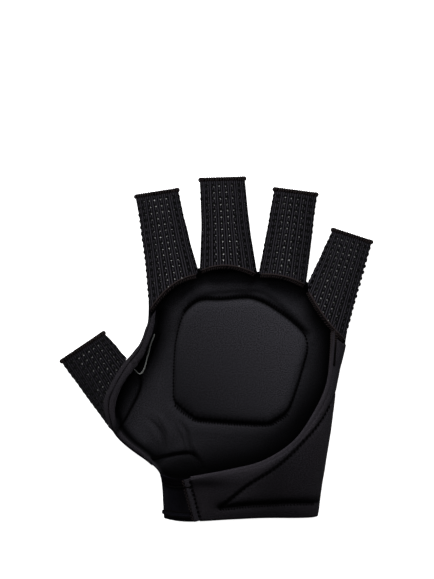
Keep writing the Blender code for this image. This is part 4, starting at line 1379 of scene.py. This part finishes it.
def pad_crown(s, y):
    """The top of the pad, which swells fast from its stitching and is nearly flat inside."""
    lines = back_lines()
    off, number = lines["pad"].near(s, y)
    share = min(off / PAD_EDGE_WIDTH, 1.0)
    rise = math.sqrt(1 - (1 - share) ** 2)
    height = PAD_SEAT + (BACK_WALL - PAD_SEAT + GAP + PAD_HEIGHT) * (0.10 + 0.90 * rise)
    height += 0.0014 * (1 - math.exp(-off / 0.009))
    height += 0.00030 * pucker(number) * lines["pad"].crosswise(number) * bell(off - 0.0010, 0.0011)
    height += lump(0.0003, s * 55, y * 55, 40) * share
    return back_point(s, y, height)


def pad_painted_light(s, y):
    """Painted light and shade on the pad's lining: palest at its top right and darker towards its bottom,
    with painted shade in its stitched gutter.
    """
    off, number = back_lines()["pad"].near(s, y)
    rightward = (s / HAND_WIDTH + 0.25) / 0.41
    downward = (0.85 - y / BODY_LENGTH) / 0.38
    cross = back_lines()["pad"].crosswise(number)
    gutter = 1 - (0.15 + 0.82 * cross) * bell(off, 0.0004 + 0.0004 * cross)
    low = 1 - 0.35 * bell(off, 0.0050) * cross if downward > 0.6 else 1.0
    return (0.74 + 0.34 * rightward - 0.36 * downward) * gutter * low


class GLOVE_OT_back(bpy.types.Operator):
    """Sews the padded back, the thumb's part of it and the stitched pad inside"""

    bl_idname = "glove.back"
    bl_label = "Sew back"

    def execute(self, context):
        cut = back_inside, back_outside, BACK_EDGE_WALL, CLOTH_STEP, back_painted_shade
        padded_panel("back_cloth", "back_panel", 0.4, back_outline(), *cut)
        padded_panel("thumb_back_cloth", "thumb_back_panel", 0.3, thumb_back_outline(), *cut)
        outline = [flat(p) for p in curve_through(placed(PAD_OUTLINE), closed=True)]
        cut = outline, pad_crown, pad_seat, PAD_HEIGHT, FINE_STEP, pad_painted_light
        padded_panel("back_pad_cloth", "back_pad", 0.8, *cut, slot="pad_lining")
        self.stitches()
        return {"FINISHED"}

    def stitches(self):
        """Teeth of thread beside the pad's gutter, dots down its sides, and three more rows."""
        lines = back_lines()
        pitch = sizes().stitch_pitch
        cloth = bmesh.new()
        for outward, above, length in ((0.0012, True, 0.0030), (0.0014, False, 0.0024)):
            ring = beside(lines["pad"].points, outward)
            path, ups = surface_path(Line(ring), back_inside, pitch * 1.25)
            high = [p.y > WRIST.y + 0.6 * BODY_LENGTH for p in path]
            frames = frames_along(path)
            crossing = [i for i, f in enumerate(frames) if abs(f[1].x) > CROSSING and high[i] == above]
            stitch_row(cloth, path, ups, length, 0.00036, slant=0.25, lift=0.0002, only=crossing)
        path, ups = surface_path(lines["pad"], back_inside, pitch * 1.45)
        frames = frames_along(path)
        sides = [i for i, f in enumerate(frames) if abs(f[1].x) <= CROSSING]
        stitch_row(cloth, path, ups, 0.0012, 0.00050, slant=0.35, lift=0.0007, only=sides)
        path, ups = surface_path(lines["wrist"], back_inside, pitch * 0.9)
        stitch_row(cloth, path, ups, 0.0020, 0.00050, slant=0.2, lift=0.0006, only=range(len(path) * 3 // 4))
        sew_row(cloth, lines["thumb"], back_inside, 1.45, 0.0012, 0.00045, 1.2, 0.0005)
        tag = [point + Vector((0.0014, 0)) for point in placed(TAG_PATH[:4])]
        tag = flat_line(curve_through(tag))
        sew_row(cloth, tag, back_inside, 1.3, 0.0014, 0.00050, 0.3, 0.0004)
        add_piece("back_stitches", cloth, "stitch", "thread")


# The heel of the hand and the wrist
def rim_line():
    return curve_through(placed(RIM))


def gusset_seam_at(y):
    top, low = placed(RIM)[-1], GUSSET_SEAM_SLANT * HAND_WIDTH
    return top.x + low * (1 - y / top.y)


def gusset_seam_points(aside, low, high, step=OUTLINE_STEP):
    return [Vector((gusset_seam_at(y) + aside, y)) for y in sampled(low, high, step)]


def heel_outline():
    little = finger(len(FINGERS) - 1)
    rim = moved_aside(rim_line(), 0.25 * RIM_RADIUS)
    clear = 1.6 * BASE_HEM_RADIUS + GAP
    top_edge = moved_aside([little.palm_base(share / 60).copy() for share in range(61)], -clear)
    start = next(i for i, p in enumerate(top_edge) if p.x > rim[0].x)
    top_edge = top_edge[start:]
    top_edge[-1].x = right_side(top_edge[-1].y)
    rim = [p for p in rim if p.y < top_edge[0].y - GAP]
    rim = [p for p in rim if p.x > gusset_seam_at(rim[-1].y) + 2 * GAP]
    seam = gusset_seam_points(GAP, rim[-1].y, 0.0)
    hem = hem_between(seam[-1].x, right_side(0.0))
    side = right_edge(hem[-1].y, top_edge[-1].y)[1:-1]
    return [flat(p) for p in rim + seam[:-1] + hem + side + list(reversed(top_edge))]


@functools.cache
def heel_lines():
    return {
        "diagonal": stitched(HEEL_DIAGONAL),
        "base": stitched(HEEL_BASE_LINE),
        "rim": flat_line(rim_line()),
        "hem": flat_line(hem_line()),
        "seam": flat_line(gusset_seam_points(0.0, 0.0, 0.024)),
    }


def heel_relief(s, y):
    """How far the heel's cloth swells between its stitch lines and sinks along them."""
    lines = heel_lines()
    height, nearest = 0.0, 1.0
    for name, depth, width in (("diagonal", 0.0012, 0.0009), ("base", 0.0020, 0.0013)):
        off, number = lines[name].near(s, y)
        nearest = min(nearest, off)
        height -= depth * bell(off, width)
        height += 0.00018 * pucker(number) * bell(off - 0.0014, 0.0014)
    for name in ("rim", "hem", "seam"):
        nearest = min(nearest, lines[name].near(s, y)[0])
    height += sizes().puff * (1 - math.exp(-nearest / 0.0032))
    height -= 0.0005 * bell(lines["seam"].near(s, y)[0] - 0.0022, 0.0011)
    height += lump(0.0005, s * 60, y * 60, 70)
    return height * (0.15 + 0.85 * math.cos(rolled(s, y)[1]))


def heel_painted_shade(s, y):
    """Painted shade on the heel's cloth: darkest in its stitched lines, on the upper side of the base line,
    along the hem and beside the gusset's seam, and darker by region; paler along the folded rim.
    """
    lines = heel_lines()
    off, number = lines["diagonal"].near(s, y)
    fade = 1 - number / len(lines["diagonal"].points)
    gutter = 1 - (0.30 + 0.65 * fade) * bell(off, 0.0005 + 0.0005 * fade)
    off, place = lines["base"].near(s, y)
    above = y > lines["base"].points[min(place, len(lines["base"].points) - 1)].y
    gutter *= (1 - 0.97 * bell(off, 0.0011)) * (1 - (0.50 if above else 0.12) * bell(off - 0.0022, 0.0020))
    gutter *= 1 - 0.6 * bell(lines["hem"].near(s, y)[0], 0.0007)
    gutter *= 1 - 0.6 * bell(lines["seam"].near(s, y)[0], 0.0020)
    band = lines["diagonal"].points[min(number, len(lines["diagonal"].points) - 1)]
    across, along = s / HAND_WIDTH, y / BODY_LENGTH
    inner = 1.0 if y < band.y and s > lines["diagonal"].points[0].x else 0.0
    # Painted shade by region: darker in the triangle under the diagonal and at the lower left, a painted
    # shadow under the rim's left end, a little lighter at the right side.
    tone = 0.54 - 0.30 * inner * bell(across - 0.16, 0.17) + 0.06 * bell(across - 0.45, 0.10)
    tone -= 0.18 * bell(across + 0.12, 0.14) * bell(along - 0.075, 0.09)
    tone -= 0.38 * bell(across + 0.20, 0.17) * bell(along - 0.155, 0.024)
    # Paler along the folded rim, more so towards its right.
    pale_tone = clamp((across + 0.20) / 0.30, 0.1)
    return max(tone, 0.04) * gutter + 0.36 * pale_tone * bell(lines["rim"].near(s, y)[0], 0.0019)


def heel_outside(s, y):
    return palm_point(s, y, -heel_relief(s, y))


def heel_inside(s, y):
    return palm_point(s, y, HEEL_WALL)


class GLOVE_OT_heel(bpy.types.Operator):
    """Sews the quilted heel panel, its stitch rows and the bound rim of the palm opening"""

    bl_idname = "glove.heel"
    bl_label = "Sew heel"

    def execute(self, context):
        cut = heel_outline(), heel_outside, heel_inside, HEEL_WALL, FINE_STEP, heel_painted_shade
        padded_panel("heel_cloth", "heel_panel", 0.5, *cut, finish="cloth")
        cloth = bmesh.new()
        lines = heel_lines()
        low = [point - Vector((0, 0.0013, 0)) for point in lines["base"].points]
        for line, *row in (
            # line, pitch in stitches, length, radius, slant, lift, stitches short
            (Line([p.to_2d() for p in low]), 1.2, 0.0018, 0.00036, 0.3, 0.0003, 3),
            (lines["base"], 0.6, 0.0016, 0.00060, RIGHT_ANGLE, 0.0, 4),
            (lines["diagonal"], 1.9, 0.0020, 0.00050, -0.7, 0.0005, 6),
        ):
            sew_row(cloth, line, heel_outside, *row)
        add_piece("heel_stitches", cloth, "stitch", "thread")
        self.rim()
        return {"FINISHED"}

    def rim(self):
        """The rolled edge round the opening, overlocked where it nears the little finger."""
        little = finger(len(FINGERS) - 1)
        line = rim_line()
        ceiling = height_at([little.palm_base(i / 16) for i in range(17)], line[0].x) - RIM_CLEAR * 0.4
        line = [p for p in line if p.y < ceiling and p.x > gusset_seam_at(p.y) + TAPE_WIDTH]
        path = [palm_point(*flat(p), HEEL_WALL * 0.35) for p in evenly(line, 0.0008)]
        cloth = yarn_cloth()
        sweep(cloth, path, RIM_RADIUS * 0.9, sides=10)
        add_piece("rim_fold", cloth, "cloth", "padded_cloth", "rim_binding", worn=0.95)
        cloth = bmesh.new()
        edge = moved_path(evenly(path, 0.00085), 0.7 * RIM_RADIUS)
        stitch_row(cloth, edge, [UP] * len(edge), 0.0024, 0.00036, slant=0.7, lift=RIM_RADIUS * 0.75)
        add_piece("rim_whip_stitches", cloth, "cloth", "thread", worn=0.95)
        upper = [p for p in path if p.y > WRIST.y + 0.54 * BODY_LENGTH]
        overlocked("rim_overlock", upper, None, RIM_RADIUS * 1.2, 77, core=0.55, taper=0.5)
        second = moved_path(upper, 1.7 * RIM_RADIUS)[: len(upper) * 2 // 3]
        overlocked("rim_overlock_outer", second, None, RIM_RADIUS * 1.2, 78, core=0.9, taper=0.6)


# The wrist's stretch gusset
def gusset_outline():
    hem = hem_line()
    top = [p for p in curve_through(placed(GUSSET_TOP)) if p.x > left_side(p.y) + GAP]
    corner_y = top[-1].y
    top[0].x = gusset_seam_at(top[0].y) + GUSSET_LAP
    top.append(Vector((left_side(corner_y), corner_y)))
    seam = gusset_seam_points(GUSSET_LAP, 0.0, top[0].y)
    low = hem_between(left_side(0.0), seam[0].x)
    side = list(reversed(left_edge(low[0].y, corner_y)))[1:-1]
    return [flat(p) for p in low[:-1] + seam[:-1] + top + side]


def gusset_outside(s, y):
    folds = lump(0.0003, s * 150, y * 45, 90)
    return palm_point(s, y, -folds)


def gusset_painted_light(s, y):
    """Painted light on the stretch cloth: a painted highlight along the glove's side, painted shade beside
    its seam, a painted shadow under its fold, and a little lighter near the wrist hem.
    """
    across, along = s / HAND_WIDTH, y / BODY_LENGTH
    tone = 0.62 + 0.55 * bell(across + 0.385, 0.030) - 0.30 * bell(across + 0.272, 0.030)
    tone += 0.12 * bell(along - 0.04, 0.03)
    return max(tone * (1 - 0.7 * bell(along - 0.142, 0.007)), 0.02)


def gusset_inside(s, y):
    return palm_point(s, y, GUSSET_WALL)


def tape(name, low_edge, bulge, node, last, width, worn):
    """A folded hem across the gusset, from its side to a last x, one width high above its lower edge."""
    xs = sampled(left_side(0.0) + 0.00005, last)
    lower = [Vector((max(x, left_side(low_edge(x)) + 0.00002), low_edge(x))) for x in xs]
    upper = [Vector((max(x, left_side(low_edge(x) + width) + 0.00002), low_edge(x) + width)) for x in xs]
    outline = [flat(p) for p in lower + list(reversed(upper))]

    def over(s, y):
        x, _, _ = rolled(s, y)
        share = (y - low_edge(x)) / width
        roll = 0.00025 * abs(math.sin(math.pi * 2 * share))
        return palm_point(s, y, -GAP - bulge - roll)

    cloth = sew_panel(outline, over, lambda s, y: palm_point(s, y, -0.0001), bulge, 0.0004, worn)
    return add_piece(name, cloth, "elastic", "thread", node)


class GLOVE_OT_gusset(bpy.types.Operator):
    """Sews the stretch gusset of the wrist, its folded hems and its seam"""

    bl_idname = "glove.gusset"
    bl_label = "Sew gusset"

    def execute(self, context):
        cloth = sew_panel(gusset_outline(), gusset_outside, gusset_inside, GUSSET_WALL, 0.0005, gusset_painted_light)
        piece = add_piece("gusset_cloth", cloth, "elastic", "elastic", "wrist_gusset")
        hem = hem_line()
        top = curve_through(placed(GUSSET_TOP))
        last = gusset_seam_at(0.010) - GAP
        end = gusset_seam_at(top[0].y) - 0.0014

        # Painted shade on the upper fold, with a painted highlight near the glove's side.
        def shaded(s, y):
            return 0.10 + 0.75 * bell(s / HAND_WIDTH + 0.41, 0.035)

        # The lower fold's cloth keeps nearly its full tone.
        def pale_tone(s, y):
            return 0.95

        def upper(x):
            return height_at(top, x) - FOLD_WIDTH

        def lower(x):
            return height_at(hem, x) + TAPE_HEM

        tape("gusset_upper_fold", upper, TAPE_THICKNESS, "gusset_hem_upper", end, FOLD_WIDTH, shaded)
        tape("gusset_lower_fold", lower, 0.0007, "gusset_hem_lower", last, TAPE_WIDTH, pale_tone)
        # Dark yarn along the folds' edges, partly as their stitching and partly as painted shade in the
        # folds.
        cloth = yarn_cloth()
        for edge, off in ((upper, -0.0004), (lower, -0.0002), (lower, TAPE_WIDTH + 0.0002)):
            line = [Vector((x, edge(x) + off)) for x in sampled(left_side(0.0) + 0.0012, last)]
            sweep(cloth, [palm_point(*flat(p), -0.0010) for p in line], 0.00040, sides=6)
        add_piece("gusset_fold_lines", cloth, "stitch", "thread")
        self.seam()
        return {"FINISHED"}

    def seam(self):
        """A flat seam: zigzag yarn over the join, and a ladder of dark stitches beside it."""
        cloth = yarn_cloth()
        zigzag = []
        ys = sampled(0.0225, 0.0008, sizes().stitch_pitch * 0.7)
        for i, y in enumerate(ys):
            x = gusset_seam_at(y) - ZIGZAG_OFFSET + (0.0006 if i % 2 else -0.0006)
            zigzag.append(palm_point(*flat(Vector((x, y))), -0.0005 if i % 2 else -0.0007))
        sweep(cloth, zigzag, 0.00022, sides=6)
        add_piece("gusset_zigzag", cloth, "yarn", "thread")
        ridge = gusset_seam_points(0.0001, 0.0232, 0.0003, 0.0006)
        path = [palm_point(*flat(p), 0.0) for p in ridge]
        cloth = yarn_cloth()
        sweep(cloth, path, RIDGE_RADIUS, sides=16, up=[UP] * len(path), squash=0.6)
        add_piece("gusset_seam_ridge", cloth, "cloth", "thread", "gusset_seam", worn=0.52)
        ladder = flat_line(gusset_seam_points(LADDER_OFFSET, 0.0220, 0.001))
        cloth = bmesh.new()
        sew_row(cloth, ladder, heel_outside, 1.9, 0.0018, 0.00055, -0.2, 0.0009)
        add_piece("gusset_ladder", cloth, "stitch", "thread")


# The strip round the thumb side of the opening
def thumb_top(y):
    """How high the thumb's sleeve stands at its base, beside this y of the hand's left side."""
    low, high = (share * BODY_LENGTH for share in THUMB_BASE)
    half = (high - low) / 2
    off = abs(y - low - half)
    fade = max(0.0, 1 - max(off - half, 0.0) / STRIP_REACH)
    from_middle = min(off / half, 1.0)
    return BASE_HEIGHT / 2 * (fade + (1 - from_middle**SECTION_POWER) ** (1 / SECTION_POWER))


def strip_at(place):
    """The strip's outer and inner edge, height and rise at a place counted in rows of STRIP."""
    columns = [Vector(row[1:]) for row in STRIP]
    span = min(int(place), len(STRIP) - 2)
    along = STRIP[span][0] + (STRIP[span + 1][0] - STRIP[span][0]) * (place - span)
    overlap, inner_across, inner_along, rise = point_on(columns, place)
    y = along * BODY_LENGTH
    outer = Vector((left_side(y) - overlap * HAND_WIDTH + STRIP_WALL, y))
    inner = Vector((inner_across * HAND_WIDTH, inner_along * BODY_LENGTH))
    floor = max(section(y)[2], thumb_top(y)) + STRIP_LIFT
    return outer, inner, floor, rise


def strip_point(place, share, inset):
    """A point of the strip. Share is 0 at its outer edge and 1 at its inner edge."""
    outer, inner, floor, rise = strip_at(place)
    width = (inner - outer).length
    toward = (inner - outer).normalized().to_3d()
    turn = RIGHT_ANGLE * share
    spot = outer.to_3d() + toward * width * (1 - math.cos(turn)) + UP * (floor + rise * math.sin(turn))
    slope = Vector((width * math.sin(turn), rise * math.cos(turn))).normalized()
    normal = UP * slope.x - toward * slope.y
    return WRIST + spot + normal * (STRIP_WALL - inset), normal


STRIP_STITCH = 0.52  # where its stitch line runs, as a share of its width


class GLOVE_OT_web(bpy.types.Operator):
    """Sews the strip round the thumb side of the opening and the folded tag inside it"""

    bl_idname = "glove.web"
    bl_label = "Sew web strip"

    def execute(self, context):
        self.strip()
        self.tag()
        return {"FINISHED"}

    def strip(self):
        rows, across = STRIP_CUTS
        ring = [(i / across, 0) for i in range(across + 1)] + [(1 - i / across, 1) for i in range(across + 1)]

        def spot(column, row):
            along = column / rows * (len(STRIP) - 1)
            share, under = ring[row % len(ring)]
            edge = min(share, 1 - share)
            rounding = (1 - math.sqrt(1 - (1 - min(edge / 0.12, 1.0)) ** 2)) * STRIP_WALL / 2
            off = share - STRIP_STITCH
            relief = 0.0005 * bell(off, 0.05) - 0.00025 * bell(off - 0.22, 0.12)
            relief += lump(0.00025, along * 1.3, share * 3, 120)
            inset = STRIP_WALL - rounding if under else rounding + relief
            return strip_point(along, share, inset)[0], (share * 0.008, along * 0.0085)

        cloth = rolled_cloth(rows, len(ring), spot)
        ends = [e for e in cloth.edges if e.is_boundary]
        bmesh.ops.holes_fill(cloth, edges=ends, sides=0)
        bmesh.ops.recalc_face_normals(cloth, faces=cloth.faces)
        add_piece("web_strip_cloth", cloth, "cloth", "padded_cloth", "web_strip")
        spots = [strip_point(i / 400 * (len(STRIP) - 1.001), STRIP_STITCH, 0.0004) for i in range(401)]
        path = evenly([spot for spot, _ in spots], sizes().stitch_pitch * 1.1)
        step = (len(spots) - 1) / (len(path) - 1)
        ups = [spots[round(i * step)][1] for i in range(len(path))]
        cloth = bmesh.new()
        stitch_row(cloth, path, ups, 0.0013, 0.00032, slant=1.3, lift=0.0002)
        add_piece("web_stitches", cloth, "stitch", "thread")

    def tag(self):
        line = curve_through(placed(TAG_PATH), step=0.0004)
        cloth = bmesh.new()
        grid = bmesh.ops.create_grid(cloth, x_segments=len(line) - 1, y_segments=TAG_ROWS, size=0.5)["verts"]
        place = {}
        for vertex in grid:
            number = round((vertex.co.x + 0.5) * (len(line) - 1))
            share = vertex.co.y + 0.5
            point = line[number]
            foot = back_point(*flat(point), back_wall_at(*flat(point))).z + TAG_LIFT
            bend = 0.0006 * share + 0.0001 * math.sin(number * 0.3)
            vertex.co = WRIST + Vector((point.x + bend, point.y, foot + share * TAG_WIDTH))
            place[vertex] = (number * 0.0004, share * TAG_WIDTH)
        add_uv(cloth, place)
        bmesh.ops.recalc_face_normals(cloth, faces=cloth.faces)
        bmesh.ops.solidify(cloth, geom=cloth.faces[:], thickness=TAG_THICKNESS)
        bmesh.ops.recalc_face_normals(cloth, faces=cloth.faces)
        add_piece("inner_tag_ribbon", cloth, "ribbon", "ribbon", "inner_tag")


# Floor, light and camera
VIEW_CENTRE = (0.0003, 0.0319)  # the point under the middle of the picture
VIEW_LENGTH = 0.31845  # what the picture's long side takes in, in metres
LENS = 120.0
SENSOR = 36.0
SILHOUETTE_HEIGHT = 0.010


class GLOVE_OT_stage(bpy.types.Operator):
    """Lays the pale floor, hangs the soft light and places the camera above the palm"""

    bl_idname = "glove.stage"
    bl_label = "Set stage"

    def execute(self, context):
        scene = context.scene
        scene.view_settings.view_transform = "Standard"
        cloth = bmesh.new()
        bmesh.ops.create_grid(cloth, x_segments=2, y_segments=2, size=3.0)
        mesh = bpy.data.meshes.new("floor")
        bmesh.ops.translate(cloth, vec=(0, 0, -0.0001), verts=cloth.verts)
        cloth.to_mesh(mesh)
        cloth.free()
        mesh.materials.append(finish_named("floor"))
        floor = new_object("floor", mesh)
        floor.visible_glossy = False
        floor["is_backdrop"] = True
        self.light("key_light", (-0.22, 1.05, 1.05), (1.4, 0.7), 40.0, False)
        self.light("top_light", (-0.05, 0.12, 1.50), (0.16, 0.40), 4.2, True)
        world = bpy.data.worlds.new("room")
        world.use_nodes = True
        sky = world.node_tree.nodes["Background"]
        sky.inputs["Color"].default_value = (0.93, 0.95, 1.0, 1.0)
        sky.inputs["Strength"].default_value = 0.06
        scene.world = world
        camera = bpy.data.cameras.new("camera")
        camera.sensor_width = SENSOR
        camera.lens = LENS
        camera.clip_start = 0.05
        holder = new_object("camera", camera)
        holder.location = (*VIEW_CENTRE, SILHOUETTE_HEIGHT + VIEW_LENGTH * LENS / SENSOR)
        scene.camera = holder
        return {"FINISHED"}

    def light(self, name, place, size, power, gloss):
        """A soft rectangular light that faces the glove."""
        lamp = bpy.data.lights.new(name, "AREA")
        lamp.shape = "RECTANGLE"
        lamp.size, lamp.size_y = size
        lamp.energy = power
        holder = new_object(name, lamp)
        holder.visible_glossy = gloss
        holder.location = place
        holder.rotation_mode = "QUATERNION"
        holder.rotation_quaternion = (Vector(place) * -1).to_track_quat("-Z", "Y")


class GLOVE_PT_panel(bpy.types.Panel):
    """Shows the glove's sizes, colours and steps"""

    bl_idname = "GLOVE_PT_panel"
    bl_label = "Hockey glove"
    bl_space_type = "VIEW_3D"
    bl_region_type = "UI"
    bl_category = "Glove"

    def draw(self, context):
        for group in (context.scene.glove_sizes, context.scene.glove_colours):
            for name in group.bl_rna.properties.keys():
                if name not in ("rna_type", "name"):
                    self.layout.prop(group, name)
        for operator in STEPS:
            self.layout.operator(operator.bl_idname)


STEPS = (GLOVE_OT_back, GLOVE_OT_heel, GLOVE_OT_gusset, GLOVE_OT_web, GLOVE_OT_sleeves, GLOVE_OT_stage)
CLASSES = (GloveSizes, GloveColours, *STEPS, GLOVE_PT_panel)


def register():
    for made in CLASSES:
        bpy.utils.register_class(made)
    bpy.types.Scene.glove_sizes = bpy.props.PointerProperty(type=GloveSizes)
    bpy.types.Scene.glove_colours = bpy.props.PointerProperty(type=GloveColours)


def unregister():
    del bpy.types.Scene.glove_colours
    del bpy.types.Scene.glove_sizes
    for made in reversed(CLASSES):
        bpy.utils.unregister_class(made)


def main():
    register()
    bpy.ops.glove.back()
    bpy.ops.glove.heel()
    bpy.ops.glove.gusset()
    bpy.ops.glove.web()
    bpy.ops.glove.sleeves()
    bpy.ops.glove.stage()
    boxes = {"cad": CAD_BOX, "visual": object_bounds()}
    {name: [list(low), list(high)] for name, (low, high) in boxes.items()}


if __name__ == "__main__":
    main()
